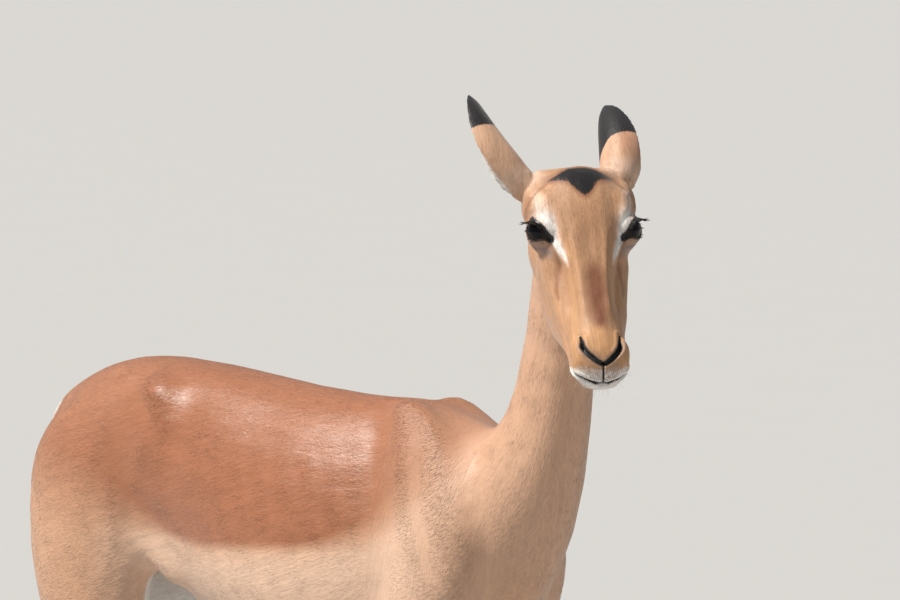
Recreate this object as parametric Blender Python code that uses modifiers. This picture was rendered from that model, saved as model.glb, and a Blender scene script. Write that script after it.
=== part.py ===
"""A life-size impala ewe standing square, her head turned to her right, as separate solids.

Metres, +Z up. She faces +X, her right side is at -Y and the floor is z = 0. The flesh is modelled in one
piece, from lofts and ellipsoids welded into one skin, and is then parted with thin cuts. It is laid out from
a point between shoulder and haunch; at the end everything moves so that the origin is under the middle.
"""

import math

import bmesh
import bpy
from mathutils import Matrix, Vector

# Driving sizes
GAP = 0.0004  # thickness of every cut between two pieces
VOXEL = 0.0045  # grain of the flesh before it is smoothed and thinned out
FLESH_TRIANGLES = 4900
HEAD_FLOOR = 0.84  # nothing of the head lies lower
HEAD_BACK = -0.115  # the jaw's lower edge, in the head's frame
HEAD_PLAINNESS = 0.93  # under 1, so that the head keeps more triangles than the rest
RING_POINTS = 28  # points round one section of a loft

# The head's own frame: along the bridge of the nose from the poll, out to the left, up from the bridge
POLL = Vector((0.474, -0.078, 1.079))
HEAD_TURN = math.radians(-37)  # from the body's line, to the animal's right
HEAD_ROLL = math.radians(1.5)  # the left eye a little higher
NOSE_PITCH = math.radians(57)  # the bridge of the nose below the horizontal

EYE_RADIUS = 0.0185
EYE_AT = (0.067, 0.0410, -0.0275)
EYE_LOOKS = (0.20, 0.70, 0.68)
EYE_SEGMENTS = 14
LID_RADII = (0.0165, 0.0095, 0.0140)  # the opening between the lids: long, high, and its depth
LID_SLANT = math.radians(-42)  # the inner corner of the eye lies lower

EAR_LENGTH = 0.1405
EAR_WIDTH = 0.0537
EAR_THICKNESS = 0.0034
EAR_BEND = 0.012  # how far the tip curves over towards the opening
EAR_TIP_POWER = 5  # the higher, the blunter the tip
EAR_TIP_BACK = 0.58  # share of the tip's narrowing that comes from its rims
EAR_INSIDE = -0.12  # the ear's root starts this share of its length inside the head
EAR_SUNK = 0.022  # and bends this far towards the head's middle
EAR_STEPS = 11
EAR_ARC_POINTS = 7
# Side of the head; the ear's root in the head's frame; the way it points and the way it opens: forward,
# outward, up; how far its middle bows out sideways; degrees it twists from root to tip
EARS = {
    "ear_right": (-1, (0.020, 0.047, -0.045), (-0.54, 0.53, 0.94), (-1.00, 0.85, -0.17), 0.020, 17),
    "ear_left": (1, (0.020, 0.044, -0.035), (-0.79, 0.10, 0.70), (-1.00, 0.51, -0.52), 0.007, -33),
}

# Sections of trunk and neck, tail end first: top point x, z; bottom point x, z; half width; how far down
# the widest level lies; roundness of the upper and the lower half; sideways; turn in degrees
TRUNK = (
    (-0.386, 0.762, -0.380, 0.682, 0.022, 0.50, 2.0, 2.0, 0.000, 0),
    (-0.374, 0.793, -0.362, 0.660, 0.048, 0.48, 2.0, 2.0, 0.000, 0),
    (-0.337, 0.817, -0.322, 0.636, 0.068, 0.46, 2.0, 2.0, 0.000, 0),
    (-0.288, 0.836, -0.277, 0.620, 0.080, 0.44, 2.0, 2.0, 0.000, 0),
    (-0.232, 0.845, -0.225, 0.606, 0.086, 0.42, 2.1, 2.0, 0.000, 0),
    (-0.172, 0.843, -0.170, 0.580, 0.091, 0.42, 2.1, 2.0, 0.000, 0),
    (-0.112, 0.838, -0.116, 0.550, 0.098, 0.46, 2.1, 2.1, 0.000, 0),
    (-0.053, 0.831, -0.058, 0.526, 0.109, 0.52, 2.1, 2.2, 0.000, 0),
    (0.007, 0.824, 0.002, 0.508, 0.118, 0.56, 2.0, 2.2, 0.000, 0),
    (0.067, 0.819, 0.062, 0.496, 0.121, 0.58, 2.0, 2.2, 0.000, 0),
    (0.125, 0.817, 0.125, 0.490, 0.115, 0.58, 1.9, 2.2, 0.000, 0),
    (0.175, 0.818, 0.185, 0.492, 0.102, 0.58, 1.8, 2.1, 0.000, 0),
    (0.215, 0.811, 0.240, 0.508, 0.088, 0.56, 1.8, 2.0, 0.000, 0),
    (0.250, 0.798, 0.284, 0.540, 0.078, 0.52, 1.9, 2.0, 0.000, 0),
    (0.275, 0.789, 0.325, 0.586, 0.068, 0.50, 2.0, 2.0, 0.000, 0),
    (0.295, 0.795, 0.366, 0.642, 0.059, 0.48, 2.0, 2.0, 0.000, 0),
    (0.312, 0.817, 0.394, 0.712, 0.049, 0.47, 2.0, 2.0, 0.000, -3),
    (0.326, 0.850, 0.412, 0.786, 0.0420, 0.46, 2.0, 2.0, -0.002, -7),
    (0.339, 0.893, 0.425, 0.856, 0.0372, 0.46, 2.1, 2.0, -0.006, -12),
    (0.352, 0.935, 0.437, 0.903, 0.0355, 0.46, 2.2, 2.0, -0.014, -18),
    (0.366, 0.978, 0.448, 0.946, 0.0352, 0.46, 2.2, 2.0, -0.025, -25),
    (0.377, 1.026, 0.460, 0.984, 0.0365, 0.46, 2.2, 2.0, -0.037, -31),
    (0.414, 1.062, 0.474, 1.006, 0.0330, 0.46, 2.2, 2.0, -0.050, -35),
)

# Sections of the head in its own frame: top point, bottom point; half width; how far down the widest level
# lies; roundness of the upper and the lower half
HEAD = (
    (-0.016, -0.050, -0.004, -0.078, 0.018, 0.50, 2.0, 2.0),
    (-0.013, -0.030, 0.004, -0.098, 0.031, 0.46, 2.2, 2.0),
    (-0.004, -0.012, 0.018, -0.113, 0.0385, 0.42, 2.6, 2.0),
    (0.016, -0.001, 0.036, -0.120, 0.0425, 0.42, 2.9, 2.1),
    (0.042, 0.004, 0.056, -0.119, 0.0455, 0.44, 2.9, 2.2),
    (0.068, 0.003, 0.080, -0.112, 0.0455, 0.46, 2.9, 2.2),
    (0.094, -0.001, 0.106, -0.103, 0.0470, 0.58, 2.2, 2.7),
    (0.119, -0.004, 0.131, -0.100, 0.0450, 0.64, 1.9, 3.0),
    (0.143, -0.006, 0.153, -0.093, 0.0410, 0.64, 1.8, 3.0),
    (0.168, -0.006, 0.175, -0.083, 0.0365, 0.62, 1.9, 2.8),
    (0.190, -0.004, 0.194, -0.074, 0.0315, 0.56, 2.1, 2.4),
    (0.210, -0.003, 0.214, -0.070, 0.0295, 0.48, 2.4, 1.9),
    (0.227, -0.005, 0.228, -0.068, 0.0315, 0.40, 2.3, 1.6),
    (0.241, -0.012, 0.237, -0.063, 0.0245, 0.38, 2.2, 1.6),
    (0.249, -0.022, 0.244, -0.054, 0.0165, 0.40, 2.0, 1.7),
)

# Bulges under the skin of the head's left half: place in the head's frame, and three radii
HEAD_MASSES = {
    "brow": ((0.048, 0.0360, -0.0150), (0.026, 0.0130, 0.0130)),
    "orbit": (EYE_AT, (0.0225, 0.0215, 0.0210)),
    "cheek": ((0.058, 0.0300, -0.0790), (0.042, 0.0210, 0.0340)),
    "cheekbone": ((0.106, 0.0300, -0.0500), (0.040, 0.0130, 0.0130)),
    "nostril": ((0.219, 0.0195, -0.0230), (0.020, 0.0120, 0.0170)),
    "lip": ((0.218, 0.0150, -0.0420), (0.024, 0.0125, 0.0145)),
    "chin": ((0.220, 0.0050, -0.0625), (0.019, 0.0110, 0.0110)),
    "ear_root": ((0.031, 0.0430, -0.0390), (0.029, 0.0180, 0.0260)),
    "crown": ((0.004, 0.0330, -0.0320), (0.018, 0.0180, 0.0155)),
}

# Bulges under the skin of the trunk's left side: place, radii, lean about Y in degrees
BODY_MASSES = {
    "hip": ((-0.158, 0.053, 0.798), (0.050, 0.030, 0.026), 20),
    "seat": ((-0.334, 0.040, 0.716), (0.040, 0.034, 0.050), 0),
    "arm": ((0.240, 0.055, 0.590), (0.052, 0.032, 0.046), 35),
    "ribs": ((0.045, 0.052, 0.648), (0.135, 0.068, 0.112), 0),
    "flank": ((-0.172, 0.066, 0.652), (0.078, 0.018, 0.030), 56),
}

# Level sections of the legs: height; forward; out to the side; half length fore and aft; half width
FORELEG = (
    (0.820, 0.190, 0.034, 0.014, 0.007),
    (0.808, 0.196, 0.037, 0.030, 0.012),
    (0.780, 0.211, 0.045, 0.048, 0.021),
    (0.740, 0.232, 0.055, 0.060, 0.029),
    (0.690, 0.252, 0.063, 0.065, 0.035),
    (0.635, 0.257, 0.067, 0.064, 0.037),
    (0.585, 0.246, 0.069, 0.061, 0.036),
    (0.540, 0.233, 0.070, 0.053, 0.0330),
    (0.500, 0.227, 0.071, 0.045, 0.0295),
    (0.460, 0.224, 0.068, 0.0360, 0.0250),
    (0.405, 0.226, 0.065, 0.0280, 0.0215),
    (0.350, 0.229, 0.063, 0.0215, 0.0185),
    (0.312, 0.231, 0.062, 0.0195, 0.0182),
    (0.286, 0.231, 0.062, 0.0195, 0.0180),
    (0.262, 0.229, 0.062, 0.0162, 0.0152),
    (0.236, 0.227, 0.062, 0.0128, 0.0120),
    (0.182, 0.226, 0.062, 0.0114, 0.0106),
    (0.125, 0.225, 0.062, 0.0118, 0.0110),
    (0.098, 0.226, 0.062, 0.0152, 0.0145),
    (0.084, 0.228, 0.062, 0.0160, 0.0150),
    (0.066, 0.235, 0.062, 0.0138, 0.0138),
    (0.046, 0.244, 0.062, 0.0164, 0.0162),
    (0.030, 0.251, 0.062, 0.0150, 0.0150),
)
HINDLEG = (
    (0.815, -0.228, 0.046, 0.034, 0.015),
    (0.795, -0.242, 0.050, 0.070, 0.027),
    (0.765, -0.258, 0.054, 0.095, 0.037),
    (0.725, -0.270, 0.058, 0.102, 0.044),
    (0.675, -0.274, 0.061, 0.100, 0.048),
    (0.630, -0.276, 0.063, 0.094, 0.048),
    (0.585, -0.276, 0.064, 0.086, 0.045),
    (0.535, -0.272, 0.064, 0.074, 0.039),
    (0.490, -0.273, 0.063, 0.060, 0.032),
    (0.448, -0.284, 0.062, 0.044, 0.0255),
    (0.412, -0.295, 0.061, 0.0320, 0.0208),
    (0.380, -0.308, 0.060, 0.0290, 0.0184),
    (0.356, -0.317, 0.060, 0.0295, 0.0180),
    (0.330, -0.319, 0.060, 0.0240, 0.0176),
    (0.300, -0.314, 0.060, 0.0178, 0.0154),
    (0.262, -0.311, 0.060, 0.0145, 0.0125),
    (0.195, -0.306, 0.060, 0.0127, 0.0115),
    (0.132, -0.302, 0.060, 0.0127, 0.0115),
    (0.102, -0.298, 0.060, 0.0160, 0.0147),
    (0.086, -0.294, 0.060, 0.0164, 0.0150),
    (0.068, -0.286, 0.060, 0.0140, 0.0138),
    (0.047, -0.277, 0.060, 0.0164, 0.0162),
    (0.030, -0.270, 0.060, 0.0150, 0.0150),
)
STEP_PIVOT = 0.58  # a leg swings forward or back from this height down
# Table, side of the body, how far forward the foot is set, height of the knee or hock
LEGS = {
    "foreleg_right": (FORELEG, -1, 0.016, 0.288),
    "foreleg_left": (FORELEG, 1, -0.014, 0.288),
    "hindleg_right": (HINDLEG, -1, -0.014, 0.340),
    "hindleg_left": (HINDLEG, 1, 0.028, 0.340),
}

# The tail hangs from its root: back, height, half width, half thickness
TAIL = (
    (-0.330, 0.785, 0.0160, 0.0180),
    (-0.362, 0.781, 0.0165, 0.0165),
    (-0.390, 0.764, 0.0170, 0.0140),
    (-0.404, 0.734, 0.0180, 0.0110),
    (-0.407, 0.698, 0.0195, 0.0100),
    (-0.406, 0.655, 0.0200, 0.0095),
    (-0.404, 0.612, 0.0175, 0.0085),
    (-0.402, 0.575, 0.0125, 0.0068),
    (-0.401, 0.548, 0.0065, 0.0045),
)
TAIL_CUT = -0.3905  # the plane between trunk and tail

HOOF_HEIGHT = 0.034
HOOF_SPREAD = 0.0066  # from the foot's midline to the inner wall's bend
HOOF_TOE_OUT = math.radians(4)
# Level sections of one claw: height, middle fore and aft, half length, width outside and inside that bend
HOOF = (
    (0.0000, 0.0060, 0.0265, 0.0112, 0.0052),
    (0.0040, 0.0060, 0.0272, 0.0116, 0.0055),
    (0.0180, 0.0015, 0.0215, 0.0108, 0.0054),
    (0.0290, -0.0030, 0.0175, 0.0094, 0.0050),
    (0.0340, -0.0045, 0.0160, 0.0086, 0.0046),
)
HOOF_POINTS = 12  # round one section
HOOF_POINT = 0.38  # how much narrower the claw is at the toe than at the heel

# Linear colour and roughness
COLOURS = {
    "coat": ((0.46, 0.22, 0.10), 0.55),
    "eye": ((0.012, 0.007, 0.004), 0.05),
    "hoof": ((0.02, 0.017, 0.015), 0.35),
}


def clear_scene():
    for obj in list(bpy.data.objects):
        bpy.data.objects.remove(obj)


def collection(name):
    made = bpy.data.collections.new(name)
    bpy.context.scene.collection.children.link(made)
    return made


def material(name):
    colour, roughness = COLOURS[name]
    made = bpy.data.materials.new(name)
    made.use_nodes = True
    shader = made.node_tree.nodes["Principled BSDF"]
    shader.inputs["Base Color"].default_value = (*colour, 1)
    shader.inputs["Roughness"].default_value = roughness
    shader.inputs["Metallic"].default_value = 0
    return made


def object_from(bm, name, folder, outward=True):
    """Links a new object that holds the bmesh, and frees the bmesh."""
    if outward:
        bmesh.ops.recalc_face_normals(bm, faces=bm.faces)
    mesh = bpy.data.meshes.new(name)
    bm.to_mesh(mesh)
    bm.free()
    made = bpy.data.objects.new(name, mesh)
    folder.objects.link(made)
    return made


def evaluated_copy(source, name, folder):
    """A new object whose mesh is the source's with its modifiers applied."""
    bpy.context.view_layer.update()
    graph = bpy.context.evaluated_depsgraph_get()
    mesh = bpy.data.meshes.new_from_object(source.evaluated_get(graph))
    made = bpy.data.objects.new(name, mesh)
    folder.objects.link(made)
    return made


def spread(stations, parts):
    """The stations with parts - 1 more between each two, on a smooth curve through them."""
    rows = [stations[0], *stations, stations[-1]]
    found = []
    for before, first, second, after in zip(rows, rows[1:], rows[2:], rows[3:]):
        for part in range(parts):
            t = part / parts
            found.append(tuple(curve_value(t, *values) for values in zip(before, first, second, after)))
    found.append(stations[-1])
    return found


def curve_value(t, before, first, second, after):
    """Catmull-Rom value between first and second."""
    slope = second - before
    bend = 2 * before - 5 * first + 4 * second - after
    twist = 3 * (first - second) + after - before
    return first + 0.5 * t * (slope + t * (bend + t * twist))


def loft(rings, name, folder):
    """One closed mesh through rings of as many points each, capped at both ends."""
    bm = bmesh.new()
    rows = [[bm.verts.new(point) for point in ring] for ring in rings]
    count = len(rows[0])
    for lower, upper in zip(rows, rows[1:]):
        for i in range(count):
            j = (i + 1) % count
            bm.faces.new((lower[i], lower[j], upper[j], upper[i]))
    bm.faces.new(rows[0])
    bm.faces.new(rows[-1])
    return object_from(bm, name, folder)


def circle_angles(count):
    return [2 * math.pi * i / count for i in range(count)]


def upright_ring(top, bottom, side, half_width, widest, upper, lower):
    """An egg-shaped section between two points; side is the unit vector out to the animal's left."""
    middle = top.lerp(bottom, widest)
    points = []
    for angle in circle_angles(RING_POINTS):
        across = math.cos(angle)
        along = math.sin(angle)
        end, power = (top, upper) if along > 0 else (bottom, lower)
        out = math.copysign(abs(across) ** (2 / power), across) * half_width
        points.append(middle + (end - middle) * abs(along) ** (2 / power) + side * out)
    return points


def head_matrix():
    """From the head's own frame to the model's."""
    turn = Matrix.Rotation(HEAD_TURN, 4, "Z")
    dip = Matrix.Rotation(NOSE_PITCH, 4, "Y")
    roll = Matrix.Rotation(HEAD_ROLL, 4, "X")
    return Matrix.Translation(POLL) @ turn @ dip @ roll


def trunk_blank(folder):
    rings = []
    for row in spread(TRUNK, 3):
        top_x, top_z, low_x, low_z, half_width, widest, upper, lower, aside, turn = row
        middle = Vector(((top_x + low_x) / 2, aside, 0))
        spin = Matrix.Rotation(math.radians(turn), 3, "Z")
        top = middle + spin @ Vector((top_x - middle.x, 0, top_z))
        low = middle + spin @ Vector((low_x - middle.x, 0, low_z))
        rings.append(upright_ring(top, low, spin @ Vector((0, 1, 0)), half_width, widest, upper, lower))
    return loft(rings, "trunk_blank", folder)


def head_blank(folder):
    frame = head_matrix()
    side = frame.to_3x3() @ Vector((0, 1, 0))
    rings = []
    for top_s, top_t, low_s, low_t, half_width, widest, upper, lower in spread(HEAD, 3):
        top = frame @ Vector((top_s, 0, top_t))
        low = frame @ Vector((low_s, 0, low_t))
        rings.append(upright_ring(top, low, side, half_width, widest, upper, lower))
    return loft(rings, "head_blank", folder)


def ball(name, matrix, radii, folder, segments=24):
    """An ellipsoid with these three radii along the axes of the matrix."""
    bm = bmesh.new()
    bmesh.ops.create_uvsphere(bm, u_segments=segments, v_segments=segments // 2, radius=1)
    bmesh.ops.transform(bm, matrix=matrix @ Matrix.Diagonal((*radii, 1)), verts=bm.verts)
    return object_from(bm, name, folder)


def bulges(folder):
    """The soft masses of head and trunk that the plain sections don't have."""
    made = []
    for side in (-1, 1):
        for name, ((along, out, up), radii) in HEAD_MASSES.items():
            place = head_matrix() @ Matrix.Translation((along, side * out, up))
            made.append(ball(f"{name}_{side}", place, radii, folder))
        for name, ((x, y, z), radii, lean) in BODY_MASSES.items():
            place = Matrix.Translation((x, side * y, z)) @ Matrix.Rotation(math.radians(lean), 4, "Y")
            made.append(ball(f"{name}_{side}", place, radii, folder))
    return made


def step_at(step, height):
    return step * max(0.0, 1 - height / STEP_PIVOT)


def leg_blank(name, folder):
    table, side, step, _ = LEGS[name]
    rings = []
    for height, forward, out, half_length, half_width in spread(table, 3):
        centre = Vector((forward + step_at(step, height), side * out, height))
        rings.append(
            [
                centre + Vector((half_length * math.cos(angle), half_width * math.sin(angle), 0))
                for angle in circle_angles(RING_POINTS)
            ]
        )
    return loft(rings, f"{name}_blank", folder)


def tail_blank(folder):
    """Flat oval sections, square to the tail's own curve."""
    rows = spread(TAIL, 3)
    rings = []
    for i, (back, height, half_width, half_thickness) in enumerate(rows):
        before = rows[max(0, i - 1)]
        after = rows[min(len(rows) - 1, i + 1)]
        run = Vector((after[0] - before[0], 0, after[1] - before[1])).normalized()
        thick = run.cross(Vector((0, 1, 0)))
        centre = Vector((back, 0, height))
        ring = []
        for angle in circle_angles(16):
            aside = Vector((0, half_width * math.sin(angle), 0))
            ring.append(centre + thick * half_thickness * math.cos(angle) + aside)
        rings.append(ring)
    return loft(rings, "tail_blank", folder)


def softness(point, head_inverse):
    """How much a point of the flesh is smoothed: the trunk a lot, head, tail and thin legs little."""
    along = (head_inverse @ point).x
    if point.z > 0.85:
        body = min(1.0, max(0.0, (0.015 - along) / 0.06))
    else:
        body = min(1.0, max(0.0, (point.z - 0.40) / 0.12))
    if point.x < -0.368:
        body = 0.0
    return max(0.10, body)


def weld(parts, folder):
    """One object with all these meshes, still overlapping, and a Remesh that welds them."""
    bm = bmesh.new()
    for part in parts:
        bm.from_mesh(part.data)
        bpy.data.objects.remove(part)
    rough = object_from(bm, "flesh_rough", folder, outward=False)
    remesh = rough.modifiers.new("weld", "REMESH")
    remesh.mode = "VOXEL"
    remesh.voxel_size = VOXEL
    return rough


def flesh(folder):
    """The whole animal without ears, eyes and hooves, as one closed skin of triangles."""
    parts = [trunk_blank(folder), head_blank(folder), tail_blank(folder), *bulges(folder)]
    parts += [leg_blank(name, folder) for name in LEGS]
    rough = weld(parts, folder)
    whole = evaluated_copy(rough, "flesh_whole", folder)
    soft = whole.vertex_groups.new(name="soft")
    plain = whole.vertex_groups.new(name="plain")
    head_inverse = head_matrix().inverted()
    for vertex in whole.data.vertices:
        soft.add([vertex.index], softness(vertex.co, head_inverse), "REPLACE")
        along, _, up = head_inverse @ vertex.co
        in_head = along > 0 and up > HEAD_BACK and vertex.co.z > HEAD_FLOOR
        plain.add([vertex.index], HEAD_PLAINNESS if in_head else 1.0, "REPLACE")
    for name, rounds, group in (("blend", 60, "soft"), ("polish", 2, "")):
        smooth = whole.modifiers.new(name, "SMOOTH")
        smooth.factor = 0.5
        smooth.iterations = rounds
        smooth.vertex_group = group
    smoothed = evaluated_copy(whole, "flesh_smooth", folder)
    thin = smoothed.modifiers.new("thin_out", "DECIMATE")
    thin.ratio = FLESH_TRIANGLES / (2 * len(smoothed.data.polygons))
    thin.vertex_group = "plain"
    thin.vertex_group_factor = 0.03
    return evaluated_copy(smoothed, "flesh", folder)


def box(name, matrix, low, high, folder):
    """A closed box between two corners in the frame of the matrix."""
    bm = bmesh.new()
    low = Vector(low)
    high = Vector(high)
    bmesh.ops.create_cube(bm, size=1)
    size = high - low
    place = matrix @ Matrix.Translation((low + high) / 2) @ Matrix.Diagonal((*size, 1))
    bmesh.ops.transform(bm, matrix=place, verts=bm.verts)
    return object_from(bm, name, folder)


def cut(source, cutter, operation, name, folder, solver="EXACT"):
    """The source with one boolean applied, as a new object."""
    boolean = source.modifiers.new(name, "BOOLEAN")
    boolean.operation = operation
    boolean.solver = solver
    boolean.object = cutter
    made = evaluated_copy(source, name, folder)
    source.modifiers.remove(boolean)
    return made


def part_off(source, name, matrix, low, high, scrap, animal):
    """Cuts the part inside a box off the source; gives that part and the rest, GAP apart."""
    inner = box(f"{name}_cutter", matrix, low, high, scrap)
    slack = Vector((GAP, GAP, GAP))
    outer = box(f"{name}_slack", matrix, Vector(low) - slack, Vector(high) + slack, scrap)
    part = cut(source, inner, "INTERSECT", name, animal)
    rest = cut(source, outer, "DIFFERENCE", "rest", scrap)
    return part, rest


def tilted(place, about_y):
    return Matrix.Translation(place) @ Matrix.Rotation(math.radians(about_y), 4, "Y")


def part_flesh(whole, scrap, animal):
    """Head, neck, tail and each half of each leg, each GAP clear of its neighbour; the rest is the trunk."""
    parts = {}
    head_cut = head_matrix() @ tilted((-0.015, 0, 0), 12)
    parts["head"], rest = part_off(
        whole, "head", head_cut, (0.0, -0.2, -0.134), (0.4, 0.2, 0.1), scrap, animal
    )
    neck_cut = tilted((0.345, 0, 0.722), 43)
    parts["neck"], rest = part_off(
        rest, "neck", neck_cut, (-0.3, -0.3, 0.0), (0.3, 0.3, 0.5), scrap, animal
    )
    parts["tail"], rest = part_off(
        rest, "tail", tilted((TAIL_CUT, 0, 0.8), 0), (-0.2, -0.03, -0.4), (0.0, 0.03, 0.1), scrap, animal
    )
    for name, (table, side, _, joint_height) in LEGS.items():
        if table is FORELEG:
            top = tilted((0.225, 0, 0.545), -8)
            low, high = (-0.09, 0.026, -0.6), (0.13, 0.3, 0.0)
        else:
            top = tilted((-0.150, 0, 0.590), 24)
            low, high = (-0.42, 0.004, -0.8), (0.16, 0.3, 0.0)
        if side < 0:
            low, high = (low[0], -high[1], low[2]), (high[0], -low[1], high[2])
        leg, rest = part_off(rest, f"{name}_whole", top, low, high, scrap, scrap)
        joint = Matrix.Translation((0, 0, joint_height))
        parts[f"{name}_lower"], _ = part_off(
            leg, f"{name}_lower", joint, (-1, -1, HOOF_HEIGHT + GAP - joint_height), (1, 1, 0), scrap, animal
        )
        above = box(f"{name}_above", joint, (-1, -1, GAP), (1, 1, 1), scrap)
        parts[f"{name}_upper"] = cut(leg, above, "INTERSECT", f"{name}_upper", animal)
    parts["trunk"] = evaluated_copy(rest, "trunk", animal)
    return parts


def side_matrix(side):
    """From the left eye's frame (out along its gaze, then towards the nose) to the model's; -1 mirrors it."""
    along, out, up = EYE_AT
    gaze = Vector(EYE_LOOKS).normalized()
    nose = Vector((1, 0, 0)) - gaze * gaze.x
    nose.normalize()
    above = nose.cross(gaze)
    eye = Matrix((gaze, nose, -above)).transposed().to_4x4()
    mirror = Matrix.Diagonal((1, side, 1, 1))
    return head_matrix() @ mirror @ Matrix.Translation((along, out, up)) @ eye


def eyes_and_lids(parts, scrap, animal):
    """Two eyeballs, and the head with a socket and an opening between the lids for each."""
    head = parts["head"]
    for name, side in (("eye_right", -1), ("eye_left", 1)):
        place = side_matrix(side)
        parts[name] = ball(name, place, (EYE_RADIUS,) * 3, animal, EYE_SEGMENTS)
        socket = ball(f"{name}_socket", place, (EYE_RADIUS + GAP,) * 3, scrap, EYE_SEGMENTS)
        length, height, depth = LID_RADII
        slit = place @ Matrix.Translation((EYE_RADIUS * 0.8, 0, 0)) @ Matrix.Rotation(LID_SLANT, 4, "X")
        opening = ball(f"{name}_lids", slit, (depth, length, height), scrap, EYE_SEGMENTS)
        bored = cut(head, socket, "DIFFERENCE", "head_bored", scrap)
        opened = cut(bored, opening, "DIFFERENCE", "head_opened", animal)
        bpy.data.objects.remove(head)
        bpy.data.objects.remove(bored)
        opened.name = "head"
        head = opened
    parts["head"] = head


def ear_sections(name):
    """Crescents along the ear, solid at the root and open towards the tip."""
    side, (along, out, up), points, opens, bow, twist = EARS[name]
    level = Matrix.Rotation(HEAD_TURN, 3, "Z")
    root = head_matrix() @ Vector((along, side * out, up))
    run = (level @ Vector((points[0], side * points[1], points[2]))).normalized()
    face = level @ Vector((opens[0], side * opens[1], opens[2]))
    face = (face - run * face.dot(run)).normalized()
    across = run.cross(face)
    aside = across * math.copysign(bow, across.dot(level @ Vector((0, side, 0))))
    outward = head_matrix().to_3x3() @ Vector((0, side, 0))
    rings = []
    for i in range(EAR_STEPS + 1):
        reach = EAR_INSIDE + (0.992 - EAR_INSIDE) * i / EAR_STEPS
        u = max(0.0, reach)
        swell = 0.66 + 0.34 * math.sin(math.pi * min(1.0, u / 1.05))
        half_arc = math.radians(115 - 65 * u)
        full_radius = EAR_WIDTH / 2 * swell / math.sin(min(half_arc, math.pi / 2))
        radius = full_radius * math.sqrt(1 - u**EAR_TIP_POWER)
        hollow = min(1.0, max(0.0, (u - 0.20) / 0.25))
        thickness = min(EAR_THICKNESS, 0.45 * radius)
        sunk = EAR_SUNK * max(0.0, (0.2 - reach) / 0.3) ** 2
        centre = root + run * EAR_LENGTH * reach + face * EAR_BEND * u * u - outward * sunk
        spin = Matrix.Rotation(math.radians(twist * u), 3, run)
        centre += aside * math.sin(math.pi * u**1.2) - spin @ face * (EAR_TIP_BACK * (full_radius - radius))
        outer = []
        inner = []
        for k in range(EAR_ARC_POINTS):
            angle = half_arc * (2 * k / (EAR_ARC_POINTS - 1) - 1)
            spoke = spin @ (across * math.sin(angle) - face * math.cos(angle))
            chord = spin @ (across * math.sin(angle) - face * math.cos(half_arc))
            outer.append(centre + spoke * radius)
            inner.append(centre + chord.lerp(spoke, hollow) * (radius - thickness * hollow))
        rings.append(outer + inner[-2:0:-1])
    return rings


def ears(grown_flesh, scrap, animal):
    for name in EARS:
        blank = loft(ear_sections(name), f"{name}_blank", scrap)
        cut(blank, grown_flesh, "DIFFERENCE", name, animal, solver="MANIFOLD")


def grown(source, folder):
    """The source with its surface moved out by twice GAP, so that its creases clear too."""
    swell = source.modifiers.new("grow", "DISPLACE")
    swell.strength = 2 * GAP
    swell.mid_level = 0
    made = evaluated_copy(source, f"{source.name}_grown", folder)
    source.modifiers.remove(swell)
    return made


def hooves(animal):
    """Two claws on each foot, with flat soles on the floor."""
    for name, (table, side, step, _) in LEGS.items():
        coronet = table[-1]
        foot = Vector((coronet[1] + step_at(step, coronet[0]), side * coronet[2], 0))
        for claw, hand in (("outer", side), ("inner", -side)):
            turn = Matrix.Rotation(hand * HOOF_TOE_OUT, 4, "Z")
            rings = []
            for height, middle, half_length, outside, inside in HOOF:
                ring = []
                for angle in circle_angles(HOOF_POINTS):
                    width = outside if math.sin(angle) > 0 else inside
                    taper = 1 - HOOF_POINT * max(0.0, math.cos(angle))
                    x = middle + half_length * math.cos(angle)
                    y = HOOF_SPREAD + width * math.sin(angle) * taper
                    ring.append(foot + turn @ Vector((x, hand * y, height)))
                rings.append(ring)
            loft(rings, name.replace("leg", "hoof") + f"_{claw}", animal)


def centre_on_floor(animal):
    """Moves every piece alike, so that the origin is on the floor under the middle of the model's box."""
    corners = [vertex.co for piece in animal.objects for vertex in piece.data.vertices]
    middle = [(min(c[i] for c in corners) + max(c[i] for c in corners)) / 2 for i in (0, 1)]
    for piece in animal.objects:
        piece.data.transform(Matrix.Translation((-middle[0], -middle[1], 0)))


def build():
    clear_scene()
    scrap = collection("construction")
    animal = collection("impala")
    whole = flesh(scrap)
    parts = part_flesh(whole, scrap, animal)
    eyes_and_lids(parts, scrap, animal)
    ears(grown(whole, scrap), scrap, animal)
    hooves(animal)
    centre_on_floor(animal)
    materials = {name: material(name) for name in COLOURS}
    for piece in animal.objects:
        finish = "eye" if piece.name.startswith("eye") else "hoof" if "hoof" in piece.name else "coat"
        piece.data.materials.clear()
        piece.data.materials.append(materials[finish])
    for helper in scrap.objects:
        helper.hide_render = True
        helper.display_type = "WIRE"


build()
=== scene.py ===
"""Looks of a life-size impala ewe: one skin with its markings, a coat in tufts, eyes, lashes and claws.

Metres, in the frame of the CAD model: she faces +X, her left is +Y and the floor is z = 0. Work on the head
is done in its own frame: s along the bridge of the nose from the poll, y to her left, t up from the bridge.
"""

import itertools
import math

import bmesh
import bpy
import numpy as np
from bpy.props import FloatProperty, FloatVectorProperty, PointerProperty
from mathutils import Matrix, Vector
from mathutils.bvhtree import BVHTree


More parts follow.
